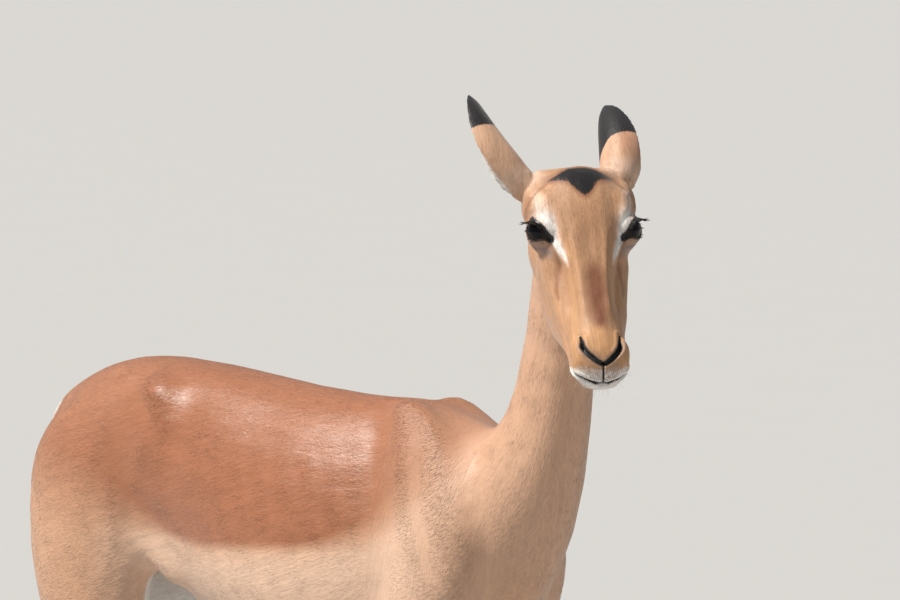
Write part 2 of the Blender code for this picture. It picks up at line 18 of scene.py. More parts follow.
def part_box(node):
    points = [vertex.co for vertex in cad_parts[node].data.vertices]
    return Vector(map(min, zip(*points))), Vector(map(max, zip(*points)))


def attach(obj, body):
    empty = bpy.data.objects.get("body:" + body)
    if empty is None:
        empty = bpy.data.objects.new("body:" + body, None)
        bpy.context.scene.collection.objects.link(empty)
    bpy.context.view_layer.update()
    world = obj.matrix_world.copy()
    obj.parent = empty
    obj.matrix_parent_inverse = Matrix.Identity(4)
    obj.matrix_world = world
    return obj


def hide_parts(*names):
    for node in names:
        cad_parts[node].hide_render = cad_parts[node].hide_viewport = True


bl_info = {
    "name": "Impala Ewe Looks",
    "version": (1, 0, 0),
    "blender": (4, 5, 0),
    "location": "3D View > Sidebar > Ewe",
    "description": "Builds the skin, coat, eyes and claws of a life-size impala ewe",
    "category": "Object",
}

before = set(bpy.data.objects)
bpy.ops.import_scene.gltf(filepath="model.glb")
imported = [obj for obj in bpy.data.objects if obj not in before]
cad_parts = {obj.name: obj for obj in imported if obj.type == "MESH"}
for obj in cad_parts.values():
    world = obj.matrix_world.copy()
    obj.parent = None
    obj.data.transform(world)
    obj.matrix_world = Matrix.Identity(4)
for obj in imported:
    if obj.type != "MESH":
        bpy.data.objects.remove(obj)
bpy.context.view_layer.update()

SIDES = {"left": 1, "right": -1}


def combined(*parts):
    """Node names from every choice of their parts."""
    return ["_".join(words) for words in itertools.product(*parts)]


LEG_NODES = combined(("foreleg", "hindleg"), SIDES, ("upper", "lower"))
FLESH_NODES = ["head", "neck", "trunk", "tail", *LEG_NODES]
EAR_NODES = combined(("ear",), SIDES)
CLAW_NODES = combined(("forehoof", "hindhoof"), SIDES, ("outer", "inner"))
MIDLINE = 0.0237  # the trunk's middle plane in Y


def box_middle(node):
    low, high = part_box(node)
    return (low + high) / 2


# The head's frame, set by the two eyes
EYES = {side: box_middle(f"eye_{side}") for side in SIDES}
EYE_RADIUS = 0.0185
EYE_AT = (0.067, 0.0410, -0.0275)
HEAD_TURN = Matrix.Rotation(math.radians(-37), 3, "Z")
HEAD_DROP = Matrix.Rotation(math.radians(57), 3, "Y")
HEAD_TILT = Matrix.Rotation(math.radians(1.5), 3, "X")
HEAD_AXES = HEAD_TURN @ HEAD_DROP @ HEAD_TILT
BROW_MIDDLE = (EYES["left"] + EYES["right"]) / 2
HEAD_ORIGIN = BROW_MIDDLE - HEAD_AXES @ Vector((EYE_AT[0], 0, EYE_AT[2]))
TO_WORLD = np.array(HEAD_AXES).T
ORIGIN = np.array(HEAD_ORIGIN)

# The ears, as the CAD model lays them out: side; root in the head's frame; the way it points and the way it
# opens, forward, outward and up; how far its middle bows out; degrees it twists from root to tip
EARS = {
    "right": (-1, (0.020, 0.047, -0.045), (-0.54, 0.53, 0.94), (-1.00, 0.85, -0.17), 0.020, 17),
    "left": (1, (0.020, 0.044, -0.035), (-0.79, 0.10, 0.70), (-1.00, 0.51, -0.52), 0.007, -33),
}
# Where the black of the tip begins along the ear, at places round its cup from the inner rim to the outer
EAR_BLACK = {
    "right": ((-1.0, 0.60), (0.0, 0.62), (1.0, 0.66)),
    "left": ((-1.0, 0.28), (-0.6, 0.33), (-0.3, 0.41), (0.0, 0.48), (0.4, 0.50), (1.0, 0.52)),
}
EAR_RIM = {"right": (0.42, 0.44), "left": (0.26, 0.14)}  # where the rims' black begins: inner, outer
EAR_LENGTH = 0.1405
EAR_WIDTH = 0.0537
EAR_BEND = 0.012  # how far the tip curves towards the opening
EAR_BOW_POWER = 1.2
EAR_TIP_POWER = 5
EAR_TIP_BACK = 0.58
EAR_ROOT_WIDTH = 0.66  # the width at the root, as a share of the full width
EAR_ARCS = (115, 50)  # degrees that half of the cup takes up at the root and at the tip

EARS_ABOVE = 1.0  # only the ears and the crown are higher than this
RELIEF_BELOW = 0.88  # the body's relief stops at this height
NECK_CUT = Vector((0.312, 0.008, 0.925))  # where the finer skin of the head begins
NECK_WAY = Vector((0.45, -0.30, 0.84)).normalized()


def to_head(points):
    return (points - ORIGIN) @ TO_WORLD.T


def from_head(points):
    return np.asarray(points) @ TO_WORLD + ORIGIN


def unit(vectors):
    return vectors / np.maximum(np.linalg.norm(vectors, axis=-1, keepdims=True), 1e-12)


def ramp(values, low, high):
    """0 below low, 1 above high, smooth between; low may be the larger."""
    t = np.clip((values - low) / (high - low), 0, 1)
    return t * t * (3 - 2 * t)


def band(values, start, full, wane, end):
    """1 from full to wane, 0 before start and after end, smooth between."""
    return ramp(values, start, full) * ramp(values, end, wane)


def bell(gap, radius):
    """1 at no gap, falling away smoothly."""
    return np.exp(-((gap / radius) ** 2))


def mm(*rows):
    return np.array(rows) / 1000


def dots(first, second):
    return np.einsum("ij,ij->i", first, second)


def path_distance(points, path):
    """Distance from each point to a polyline, and how far along it, 0 to 1, the nearest place lies."""
    path = np.asarray(path, float)
    best = np.full(len(points), np.inf)
    along = np.zeros(len(points))
    lengths = np.linalg.norm(np.diff(path, axis=0), axis=1)
    total = lengths.sum()
    start = 0.0
    for first, second, length in zip(path, path[1:], lengths):
        way = second - first
        t = np.clip(((points - first) @ way) / (length * length), 0, 1)
        gap = np.linalg.norm(points - first - t[:, None] * way, axis=1)
        nearer = gap < best
        best[nearer] = gap[nearer]
        along[nearer] = (start + t[nearer] * length) / total
        start += length
    return best, along


def stops_of(path):
    """How far along a polyline each of its points lies."""
    return np.concatenate(([0], np.cumsum(np.linalg.norm(np.diff(path, axis=0), axis=1))))


def along_path(along, path, values):
    """Values given at a path's points, read at a share of its length."""
    stops = stops_of(path)
    return np.interp(along, stops / stops[-1], values)


def evenly(path, steps):
    """Evenly spaced points on a polyline."""
    stops = stops_of(path)
    at = np.linspace(0, stops[-1], steps)
    return np.stack([np.interp(at, stops, column) for column in np.asarray(path, float).T], axis=1)


def within(gap, half):
    """1 on the middle of a stripe, a half at its edge and 0 half as far outside it again."""
    return np.clip(1.0 - 0.5 * gap / np.maximum(half, 1e-6), 0, 1)


def streak(points, path, widths):
    """The stripe along a path; widths are its half widths at the path's points."""
    gap, along = path_distance(points, path)
    return within(gap, along_path(along, path, widths))


# ---------------------------------------------------------------- mesh tools


def read(items, field, width, kind=float):
    """One field of a mesh's items, a row for each item."""
    found = np.empty(len(items) * width, np.float32 if kind is float else np.int32)
    items.foreach_get(field, found)
    return found.reshape(-1, width).astype(kind)


def write(items, field, values, kind=np.float32):
    items.foreach_set(field, np.ascontiguousarray(values, kind).ravel())


def coordinates(mesh):
    return read(mesh.vertices, "co", 3)


def set_coordinates(mesh, points):
    write(mesh.vertices, "co", points)
    mesh.update()


def vertex_normals(mesh):
    mesh.update()
    return read(mesh.vertex_normals, "vector", 3)


def mesh_edges(mesh):
    return read(mesh.edges, "vertices", 2, int)


def neighbour_mean(values, edges, degree):
    count = len(values)
    mean = np.empty_like(values)
    for axis in range(values.shape[1]):
        column = values[:, axis]
        total = np.bincount(edges[:, 0], column[edges[:, 1]], count)
        total += np.bincount(edges[:, 1], column[edges[:, 0]], count)
        mean[:, axis] = total / degree
    return mean


def relaxed(values, edges, rounds, weight=None, keep_volume=True):
    """Evens out values over a mesh; with keep_volume each round steps back a little, so nothing shrinks."""
    degree = np.maximum(np.bincount(edges.ravel(), minlength=len(values)), 1)
    weight = np.ones(len(values)) if weight is None else weight
    for _ in range(rounds):
        for share in (0.5, -0.526) if keep_volume else (0.5,):
            values = values + share * weight[:, None] * (neighbour_mean(values, edges, degree) - values)
    return values


def linked(mesh, name):
    made = bpy.data.objects.new(name, mesh)
    bpy.context.scene.collection.objects.link(made)
    return made


def applied(obj, name):
    """A new mesh that is the object's with its modifiers applied; the object goes."""
    bpy.context.view_layer.update()
    graph = bpy.context.evaluated_depsgraph_get()
    mesh = bpy.data.meshes.new_from_object(obj.evaluated_get(graph))
    old = obj.data
    bpy.data.objects.remove(obj)
    bpy.data.meshes.remove(old)
    mesh.name = name
    return mesh


def with_modifier(mesh, name, kind, **settings):
    """The mesh as one of Blender's modifiers leaves it."""
    obj = linked(mesh, name)
    modifier = obj.modifiers.new(kind, kind)
    for field, value in settings.items():
        setattr(modifier, field, value)
    return applied(obj, name)


def remeshed(mesh, size, name):
    return with_modifier(mesh, name, "REMESH", mode="VOXEL", voxel_size=size)


def rounded(mesh, levels, name):
    return with_modifier(mesh, name, "SUBSURF", levels=levels, render_levels=levels)


def solid_copy(node):
    """A bmesh of a CAD node with its split corners joined again."""
    bm = bmesh.new()
    bm.from_mesh(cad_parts[node].data)
    bmesh.ops.remove_doubles(bm, verts=bm.verts, dist=1e-6)
    bm.normal_update()
    return bm


def add_to(bm, part):
    """Adds one bmesh to another and frees it."""
    carrier = bpy.data.meshes.new("carrier")
    part.to_mesh(carrier)
    part.free()
    bm.from_mesh(carrier)
    bpy.data.meshes.remove(carrier)


def as_mesh(bm, name):
    mesh = bpy.data.meshes.new(name)
    bm.to_mesh(mesh)
    bm.free()
    return mesh


def set_attribute(mesh, name, values):
    made = mesh.attributes.get(name) or mesh.attributes.new(name, "FLOAT", "POINT")
    write(made.data, "value", values)


def get_attribute(mesh, name):
    return read(mesh.attributes[name].data, "value", 1)[:, 0]


def keep_rest(mesh):
    """Stores where the surface lies before it is sculpted, for the markings to be measured on."""
    write(mesh.attributes.new("rest", "FLOAT_VECTOR", "POINT").data, "vector", coordinates(mesh))


def rest_of(mesh):
    rest = read(mesh.attributes["rest"].data, "vector", 3)
    lost = np.linalg.norm(rest, axis=1) < 1e-6
    rest[lost] = coordinates(mesh)[lost]
    return rest


# ---------------------------------------------------------------- skin

# Voxel sizes of the remeshes and rounds of smoothing
BODY_GRAIN = 0.0046
BLANK_GRAIN = 0.0032
HEAD_GRAIN = 0.00125
BODY_ROUNDS = 60
BLANK_ROUNDS = 40
HEAD_ROUNDS = 4
EAR_ROUNDS = 30
RIM_ROUNDS = 12
SEAM = 0.0005  # how far the pieces of flesh swell to close the cuts between them


def flesh_blank(nodes, grain, rounds, softness):
    """One closed mesh of the named pieces of flesh, with the eyeballs, its facets smoothed away."""
    bm = bmesh.new()
    for node in nodes:
        part = solid_copy(node)
        for vertex in part.verts:
            vertex.co += vertex.normal * SEAM
        add_to(bm, part)
    for middle in EYES.values():
        place = Matrix.Translation(middle)
        bmesh.ops.create_icosphere(bm, subdivisions=3, radius=EYE_RADIUS + SEAM, matrix=place)
    mesh = remeshed(as_mesh(bm, "flesh"), grain, "flesh")
    points = coordinates(mesh)
    set_coordinates(mesh, relaxed(points, mesh_edges(mesh), rounds, softness(points)))
    return mesh


def body_softness(points):
    return 1.0 - 0.62 * ramp(points[:, 2], 0.46, 0.36)


def head_softness(points):
    """Firm at the muzzle, where the forms are small."""
    head = to_head(points)
    return 0.72 - 0.34 * ramp(head[:, 0], 0.17, 0.20) * ramp(head[:, 2], -0.10, -0.08)


def ear_blank(side):
    """An ear with its facets and its thin rim rounded."""
    bm = solid_copy(f"ear_{side}")
    bmesh.ops.join_triangles(bm, faces=bm.faces, angle_face_threshold=0.7, angle_shape_threshold=1.2)
    return rounded(as_mesh(bm, "ear"), 2, "ear")


def largest_piece(mesh):
    """The mesh without the specks a remesh leaves beside thin edges."""
    edges = mesh_edges(mesh)
    label = np.arange(len(mesh.vertices))
    while True:
        low = np.minimum(label[edges[:, 0]], label[edges[:, 1]])
        before = label.copy()
        np.minimum.at(label, edges[:, 0], low)
        np.minimum.at(label, edges[:, 1], low)
        label = label[label]
        if np.array_equal(before, label):
            break
    names, counts = np.unique(label, return_counts=True)
    stray = label != names[counts.argmax()]
    bm = bmesh.new()
    bm.from_mesh(mesh)
    bmesh.ops.delete(bm, geom=[v for v, gone in zip(bm.verts, stray) if gone], context="VERTS")
    return as_mesh(bm, mesh.name)


def cut_plane(bm, place, way):
    """Clears what lies on the far side of a plane."""
    everything = [*bm.verts, *bm.edges, *bm.faces]
    bmesh.ops.bisect_plane(bm, geom=everything, dist=1e-7, plane_co=place, plane_no=way, clear_outer=True)


def open_edges(bm):
    return [edge for edge in bm.edges if edge.is_boundary]


def over_ears(points, share_of):
    """The larger of both ears' shares."""
    return np.maximum.reduce([share_of(points, side) for side in SIDES])


def fine_head():
    """Head, ears and upper neck at a finer grain, open at the neck."""
    blank = flesh_blank(("head", "neck"), BLANK_GRAIN, BLANK_ROUNDS, head_softness)
    bm = bmesh.new()
    bm.from_mesh(blank)
    cut_plane(bm, NECK_CUT - NECK_WAY * 0.012, -NECK_WAY)
    bmesh.ops.holes_fill(bm, edges=open_edges(bm))
    fine = rounded(as_mesh(bm, "rough"), 1, "rough")
    bm = bmesh.new()
    bm.from_mesh(fine)
    for side in SIDES:
        bm.from_mesh(ear_blank(side))
    mesh = largest_piece(remeshed(as_mesh(bm, "head"), HEAD_GRAIN, "head"))
    edges = mesh_edges(mesh)
    points = relaxed(coordinates(mesh), edges, HEAD_ROUNDS)
    points = relaxed(points, edges, EAR_ROUNDS, over_ears(points, ear_share))
    points = relaxed(points, edges, RIM_ROUNDS, over_ears(points, ear_rim), keep_volume=False)
    set_coordinates(mesh, points)
    return mesh


def turned(first, second, angle):
    """The first direction turned towards the second."""
    return first * np.cos(angle)[:, None] + second * np.sin(angle)[:, None]


def ear_place(points, side):
    """Where points lie on an ear: the share along it, the share round its cup (1 at the outer rim, -1 at the
    inner), how far they are outside the cup, and the directions along the ear, out of its opening and away
    from its cup."""
    sign, root, points_to, opens, bow, twist = EARS[side]
    root, points_to, opens = (Vector((way[0], sign * way[1], way[2])) for way in (root, points_to, opens))
    base = HEAD_AXES @ root + HEAD_ORIGIN
    run = (HEAD_TURN @ points_to).normalized()
    face = HEAD_TURN @ opens
    face = (face - run * face.dot(run)).normalized()
    across = run.cross(face)
    hand = math.copysign(1, across.dot(HEAD_TURN @ Vector((0, sign, 0))))
    base, run, face, across = (np.array(v) for v in (base, run, face, across))
    u = (points - base) @ run / EAR_LENGTH
    held = np.clip(u, 0, 1)
    middle = base + run * (u * EAR_LENGTH)[:, None] + face * (EAR_BEND * held * held)[:, None]
    middle = middle + across * (hand * bow * np.sin(np.pi * held**EAR_BOW_POWER))[:, None]
    turn = np.radians(twist) * held
    across_here = turned(across, np.cross(run, across), turn)
    face_here = turned(face, np.cross(run, face), turn)
    swell = EAR_ROOT_WIDTH + (1 - EAR_ROOT_WIDTH) * np.sin(np.pi * np.minimum(1.0, held / 1.05))
    half_arc = np.radians(EAR_ARCS[0] + (EAR_ARCS[1] - EAR_ARCS[0]) * held)
    full_radius = EAR_WIDTH / 2 * swell / np.sin(np.minimum(half_arc, np.pi / 2))
    radius = full_radius * np.sqrt(np.maximum(1 - held**EAR_TIP_POWER, 0.03))
    offset = points - middle + face_here * (EAR_TIP_BACK * (full_radius - radius))[:, None]
    aside = dots(offset, across_here)
    behind = -dots(offset, face_here)
    angle = np.arctan2(aside, behind)
    away = across_here * np.sin(angle)[:, None] - face_here * np.cos(angle)[:, None]
    return u, hand * angle / half_arc, np.hypot(aside, behind) - radius, run, face_here, away


def ear_share(points, side):
    """1 on the free ear and 0 on the head, with a soft edge at the root."""
    u, _, w, _, _, _ = ear_place(points, side)
    own = SIDES[side] * to_head(points)[:, 1] > 0
    reach = 0.010 + 0.010 * ramp(u, 0.25, 0.05)
    on_cup = ramp(w, reach, 0.002) * ramp(w, -0.032, -0.022) * (u < 1.1)
    return ramp(u, -0.04, 0.20) * on_cup * own


def near_ear(points, side):
    return ear_share(points, side) > 0.5


def ear_rim(points, side):
    """1 on the thin rims and the tip of an ear."""
    u, v, _, _, _, _ = ear_place(points, side)
    return near_ear(points, side) * np.maximum(ramp(np.abs(v), 0.78, 0.92), ramp(u, 0.88, 0.95))


# ---------------------------------------------------------------- sculpting the head


def gaze_frame(sign):
    """Rows in the head's frame: the eye's gaze, the lids' long way towards the nose, and the way up."""
    gaze = Vector((0.34, 0.70, 0.62)).normalized()
    nose = Vector((0.77, -0.59, 0.24))
    nose = (nose - gaze * nose.dot(gaze)).normalized()
    rows = np.array((gaze, nose, nose.cross(gaze)))
    rows[2] *= math.copysign(1, rows[2, 2])
    rows[:, 1] *= sign
    return rows


# The lids' edges on the eyeball, in metres: towards the nose and up, from the temple to the nose
UPPER_LID = mm((-16.5, 0), (-14, 4), (-8.5, 7.6), (-0.5, 9.2), (6.5, 7.8), (12, 4.2), (16, 1.4), (18.5, 0))
LOWER_LID = mm((-16.5, 0), (-13.5, -3.2), (-8.5, -6), (-3, -8.8), (2, -9), (6, -6), (10.5, -1.6),
               (14.5, -0.2), (18.5, 0))
LID_FOLD = 0.0062  # the upper lid's fold runs this far over its edge
LID_BAG = 0.0060  # and the lower lid's bag this far under it
LID_EDGE = 0.0013  # the lids' edges stand this far off the eyeball
LID_SNAP = 0.0007  # points this close to an edge slide onto it
UNDER_EYE = 0.0022  # the skin behind the opening lies this far inside the eyeball
NEAR_LIDS = 0.9  # a gap under this is a real one: lid_shape gives 1 away from the eyes


def eye_middle(sign):
    return np.array((EYE_AT[0], sign * EYE_AT[1], EYE_AT[2]))


def lid_outline():
    """The opening's outline as a ring of points on the eyeball."""
    ring = np.concatenate([evenly(half, 41)[:-1] for half in (UPPER_LID, LOWER_LID[::-1])])
    for _ in range(6):
        ring = (np.roll(ring, 1, axis=0) + 2 * ring + np.roll(ring, -1, axis=0)) / 4
    return ring


def lid_shape(head, sign):
    """Per point, as seen from the eyeball's middle: distance from the opening's edge in metres on the ball
    (negative inside), height over it, place towards the nose, and the edge's nearest point."""
    rows = gaze_frame(sign)
    offset = head - eye_middle(sign)
    way = unit(offset) * EYE_RADIUS
    out, nose, up = (way @ row for row in rows)
    gap = np.ones(len(head))
    nearest = np.zeros((len(head), 2))
    near = (np.linalg.norm(offset, axis=1) < 0.05) & (out > -0.004)
    flat = np.stack([nose[near], up[near]], axis=1)
    ring = lid_outline()
    best = np.full(len(flat), np.inf)
    spot = np.zeros((len(flat), 2))
    crossings = np.zeros(len(flat), int)
    for first, second in zip(ring, np.roll(ring, -1, axis=0)):
        step = second - first
        t = np.clip((flat - first) @ step / (step @ step), 0, 1)
        place = first + t[:, None] * step
        far = np.linalg.norm(flat - place, axis=1)
        closer = far < best
        best[closer] = far[closer]
        spot[closer] = place[closer]
        spans = (first[1] > flat[:, 1]) != (second[1] > flat[:, 1])
        rise = step[1] if abs(step[1]) > 1e-12 else 1e-12
        crossings += spans & (flat[:, 0] < first[0] + (flat[:, 1] - first[1]) * step[0] / rise)
    over = np.maximum(np.linalg.norm(offset[near], axis=1) - EYE_RADIUS - 0.0040, 0)
    open_here = (crossings % 2 == 1) & (out[near] > 0) & (over < 0.004)
    gap[near] = np.where(open_here, -best, np.hypot(best, over))
    nearest[near] = spot
    return gap, up, nose, nearest


# Lines on the left side of the face, in the head's frame, with their half widths
NOSTRIL = mm((201.5, 20, -11.8), (208.5, 19.8, -9), (214.5, 20, -7.8), (219.5, 17.8, -7), (225, 13.8, -7),
             (230, 8.5, -7.8), (233.8, 3, -9), (234.5, 0, -9.2))
NOSTRIL_WIDTHS = mm(0.8, 1.8, 2.7, 2.7, 2.7, 2.7, 2.4, 2.2)
NOSTRIL_DEPTHS = mm(2, 5, 6.5, 6, 4.5, 3, 2.2, 2)
PHILTRUM = mm((234.5, 0, -9.2), (236.3, 0, -10.1), (241.4, 0, -13.3), (246.8, 0, -20.6), (247.6, 0, -28.2))
MOUTH = mm((247.6, 0, -28.2), (247.4, 7.9, -27), (245.3, 15.2, -25.6), (240.4, 21.6, -26.2),
           (230, 27.5, -32), (215, 30, -38.5), (195, 29, -43), (178, 28, -45.5))
MOUTH_WIDTHS = mm(3.4, 2.7, 1.8, 1.2, 1, 0.8, 0.6, 0.3)
LIP_WIDTHS = mm(22.5, 20.5, 15, 10, 5, 0.4, 0.1, 0.1)
FACE_CREASE = mm((98, 34, -22), (125, 30, -22), (150, 27, -22.5), (175, 25, -24))
CHEEK_RIDGE = mm((90, 43, -40), (120, 38.5, -42), (150, 33, -43), (180, 29, -40))
NOSE_LEDGE = mm((70, 18, 1), (110, 17, -4), (150, 15, -7), (190, 14.5, -6.5))
JAW_LINE = mm((60, 32, -108), (100, 29, -92), (150, 24, -74), (190, 21, -64))
BROW_RIDGE = mm((30, 40, -20), (48, 42.5, -10), (68, 40, -6.5), (88, 33, -10))
FACE_FORMS = (  # path, height, radius
    (FACE_CREASE, -0.0034, 0.0065),
    (CHEEK_RIDGE, 0.0018, 0.0065),
    (NOSE_LEDGE, 0.0024, 0.0050),
    (JAW_LINE, 0.0012, 0.0070),
    (BROW_RIDGE, 0.0014, 0.0065),
)
FACE_BUMPS = (  # the wing of the nostril and the hollow of the cheek: place, height, radius
    ((0.2095, 0.0250, -0.0180), 0.0016, 0.0085),
    ((0.118, 0.0340, -0.0300), -0.0016, 0.014),
)


def mirrored(path, sign):
    return np.asarray(path) * (1, sign, 1)


def snapped(path, tree, steps=24):
    """A path in the head's frame laid on the surface, with evenly spaced points."""
    return np.array([tree.find_nearest(Vector(point))[0] for point in evenly(path, steps)])


def head_tree(points, mesh):
    return BVHTree.FromPolygons([Vector(p) for p in points], [tuple(f.vertices) for f in mesh.polygons])


def sculpt_forms(head, normals, tree):
    """The broad forms of cheek, brow and bridge, as moves along the surface's normal."""
    push = np.zeros(len(head))
    for sign in SIDES.values():
        for path, height, radius in FACE_FORMS:
            gap, along = path_distance(head, snapped(mirrored(path, sign), tree))
            push += height * bell(gap, radius) * band(along, -0.01, 0.2, 0.75, 1.01)
        for place, height, radius in FACE_BUMPS:
            push += height * bell(np.linalg.norm(head - mirrored(place, sign), axis=1), radius)
    on_bridge = (np.abs(head[:, 1]) < 0.02) & (head[:, 2] > -0.03)
    dip = bell(head[:, 1], 0.0055) * band(head[:, 0], 0.06, 0.09, 0.16, 0.19)
    return normals * (push - 0.0012 * dip * on_bridge)[:, None]


def sculpt_mouth(head, normals, paths):
    """Nostrils, the cleft of the lip, the mouth and its lips."""
    push = np.zeros(len(head))
    for sign in SIDES.values():
        nostril, mouth = paths[sign]
        gap, along = path_distance(head, nostril)
        width = along_path(along, NOSTRIL, NOSTRIL_WIDTHS)
        push -= along_path(along, NOSTRIL, NOSTRIL_DEPTHS) * np.exp(-((gap / width) ** 4))
        push += 0.0010 * bell(gap - 0.0050, 0.0018) * ramp(along, 0.8, 0.5)
        gap, along = path_distance(head, mouth)
        width = along_path(along, MOUTH, MOUTH_WIDTHS)
        push -= 0.0034 * bell(gap, width) * ramp(along, 1.0, 0.85)
        push += 0.0010 * bell(gap - width - 0.0030, 0.0022) * ramp(along, 1.0, 0.8)
    gap, _ = path_distance(head, paths["cleft"])
    push -= 0.0020 * bell(gap, 0.0012)
    return normals * push[:, None]


def sculpt_lids(head, rest, sign):
    """Lids that hug the ball, with a fold above and a bag below, and the sunk skin behind the opening."""
    gap, up, nose, nearest = lid_shape(rest, sign)
    middle = eye_middle(sign)
    offset = head - middle
    reach = np.linalg.norm(offset, axis=1)
    near = (reach < 0.045) & (gap < 0.013)
    rows = gaze_frame(sign)
    slide = near & (np.abs(gap) < LID_SNAP)
    shift = (nearest[:, :1] - nose[:, None]) * rows[1] + (nearest[:, 1:] - up[:, None]) * rows[2]
    offset = np.where(slide[:, None], offset + shift * (reach / EYE_RADIUS)[:, None], offset)
    gap = np.where(slide, 0.0, gap)
    edge = EYE_RADIUS + LID_EDGE + 0.0005 * (up > 0)
    hug = ramp(gap, np.where(up > 0, 0.0095, 0.0070), 0.0)
    fold = 0.0010 * bell(gap - LID_FOLD, 0.0013) * (up > 0)
    bag = 0.0008 * bell(gap - LID_BAG, 0.0012) * (up <= 0)
    lid = np.maximum(edge, reach * (1 - hug) + edge * hug) - fold - bag
    shell = np.where(gap < 0, EYE_RADIUS - UNDER_EYE, lid)
    return np.where(near[:, None], middle + unit(offset) * shell[:, None], head)


def sculpt_head(mesh):
    """Folds, lids, nostrils and mouth; the markings are measured on the surface as it was before."""
    rest = to_head(rest_of(mesh))
    normals = vertex_normals(mesh) @ TO_WORLD.T
    tree = head_tree(rest, mesh)
    free = 1 - over_ears(from_head(rest), ear_share)
    paths = {"cleft": snapped(PHILTRUM, tree)}
    for sign in SIDES.values():
        paths[sign] = (snapped(mirrored(NOSTRIL, sign), tree), snapped(mirrored(MOUTH, sign), tree, 40))
    head = rest + sculpt_forms(rest, normals, tree) * free[:, None]
    head = head + sculpt_mouth(rest, normals, paths)
    for sign in SIDES.values():
        head = sculpt_lids(head, rest, sign)
    set_coordinates(mesh, from_head(head))
    return paths


# ---------------------------------------------------------------- relief of the body

# Path on the right side (x, y outward from the middle plane, z), height and radius
BODY_RELIEF = (
    (mm((118, 50, 800), (142, 78, 735), (172, 94, 660)), 0.0026, 0.012),
    (mm((168, 60, 780), (196, 85, 710), (222, 98, 640)), 0.0022, 0.012),
    (mm((145, 62, 780), (170, 86, 710), (196, 98, 640)), -0.0022, 0.010),
    (mm((85, 75, 780), (100, 95, 700), (112, 104, 620)), -0.0026, 0.014),
    (mm((232, 70, 700), (262, 75, 640), (286, 66, 590)), -0.0020, 0.012),
    (mm((-262, 40, 830), (-238, 78, 800), (-222, 86, 775)), 0.0030, 0.015),
    (mm((-238, 84, 780), (-262, 94, 720), (-258, 96, 650), (-270, 86, 600)), 0.0030, 0.014),
    (mm((-190, 82, 780), (-200, 92, 730)), -0.0035, 0.026),
    (mm((-290, 84, 770), (-312, 94, 700), (-318, 100, 620)), -0.0016, 0.014),
    (mm((-355, 80, 760), (-372, 92, 690), (-362, 94, 600)), -0.0022, 0.012),
    (mm((-205, 86, 600), (-240, 84, 585), (-275, 70, 560)), 0.0024, 0.012),
)
RIB_SPACING = 0.034
RIB_HEIGHT = 0.00014


def relief_body(points, normals):
    x, y, z = points.T
    out = np.stack([x, np.abs(y - MIDLINE), z], axis=1)
    push = np.zeros(len(points))
    for path, height, radius in BODY_RELIEF:
        gap, along = path_distance(out, path)
        push += height * bell(gap, radius) * (0.4 + 0.6 * np.sin(np.pi * np.clip(along, 0.08, 0.92)))
    ribs = np.sin(2 * np.pi * (x + 0.35 * (z - 0.65)) / RIB_SPACING)
    push += RIB_HEIGHT * ribs * band(x, -0.16, -0.10, 0.05, 0.10) * band(z, 0.54, 0.60, 0.72, 0.78)
    return points + normals * push[:, None]


BODY_COAT_DEPTH = 0.0026
THINNER = 0.0018  # on the head and legs
THICKER = 0.0008  # on the tail
EAR_COAT_DEPTH = 0.0003


def coat_depth(points):
    """How far the skin lies inside the coat's outline."""
    head = to_head(points)
    on_head = ramp(head[:, 0], -0.04, 0.02) * ramp(head[:, 2], -0.150, -0.115)
    leg = ramp(points[:, 2], 0.50, 0.36)
    tail = ramp(points[:, 0], -0.466, -0.474)
    return BODY_COAT_DEPTH - THINNER * np.maximum(on_head, leg) + THICKER * tail


def joined_skin(body, head):
    """The body's mesh and the head's finer one, cut at the neck and stitched."""
    bm = bmesh.new()
    bm.from_mesh(body)
    cut_plane(bm, NECK_CUT - NECK_WAY * 0.0016, NECK_WAY)
    other = bmesh.new()
    other.from_mesh(head)
    cut_plane(other, NECK_CUT, -NECK_WAY)
    add_to(bm, other)
    bmesh.ops.bridge_loops(bm, edges=open_edges(bm))
    bmesh.ops.recalc_face_normals(bm, faces=bm.faces)
    if bm.calc_volume(signed=True) < 0:
        bmesh.ops.reverse_faces(bm, faces=bm.faces)
    return as_mesh(bm, "skin")


# ---------------------------------------------------------------- markings and the lie of the coat

BROW_STREAK = mm((30, 46, -18), (42, 47.8, -12), (52, 47, -12), (63.5, 41.5, -9), (74.5, 36.5, -9.5),
                 (85, 34.5, -12), (94.5, 31.2, -13.8), (104, 26.8, -13.6), (115, 23.8, -14))
BROW_WIDTHS = mm(3.96, 7.26, 9.02, 8.36, 6.16, 4.62, 4.18, 3.74, 1.54)
BROW_WHITE = (0.35, 0.45, 0.60, 0.85, 1.0, 1.0, 0.95, 0.75, 0.45)
TEAR_LINE = mm((83, 40.5, -15), (88.8, 37.6, -17), (98.6, 34, -19), (106.9, 32.6, -21), (117.6, 35, -28),
               (132.8, 35.4, -33.4), (144.4, 33.4, -33.9))
TEAR_WIDTHS = mm(2.8, 2.52, 2.38, 2.66, 3.08, 2.52, 1.12)
UNDER_EYE_PATCH = mm((80, 55.5, -30), (88, 47, -27), (94.5, 39.5, -23.5))
UNDER_EYE_WIDTHS = mm(5, 7.2, 4.5)
TEMPLE_LINE = mm((14.8, 33, -12.5), (18, 36.8, -13.8), (25, 45, -14.5), (29.6, 50, -16.8),
                 (35.3, 55.2, -21.3), (38.8, 57.6, -29.5), (44, 58.8, -38))
TEMPLE_WIDTHS = mm(2.4, 1.5, 1.1, 1.1, 1.3, 1.6, 2)
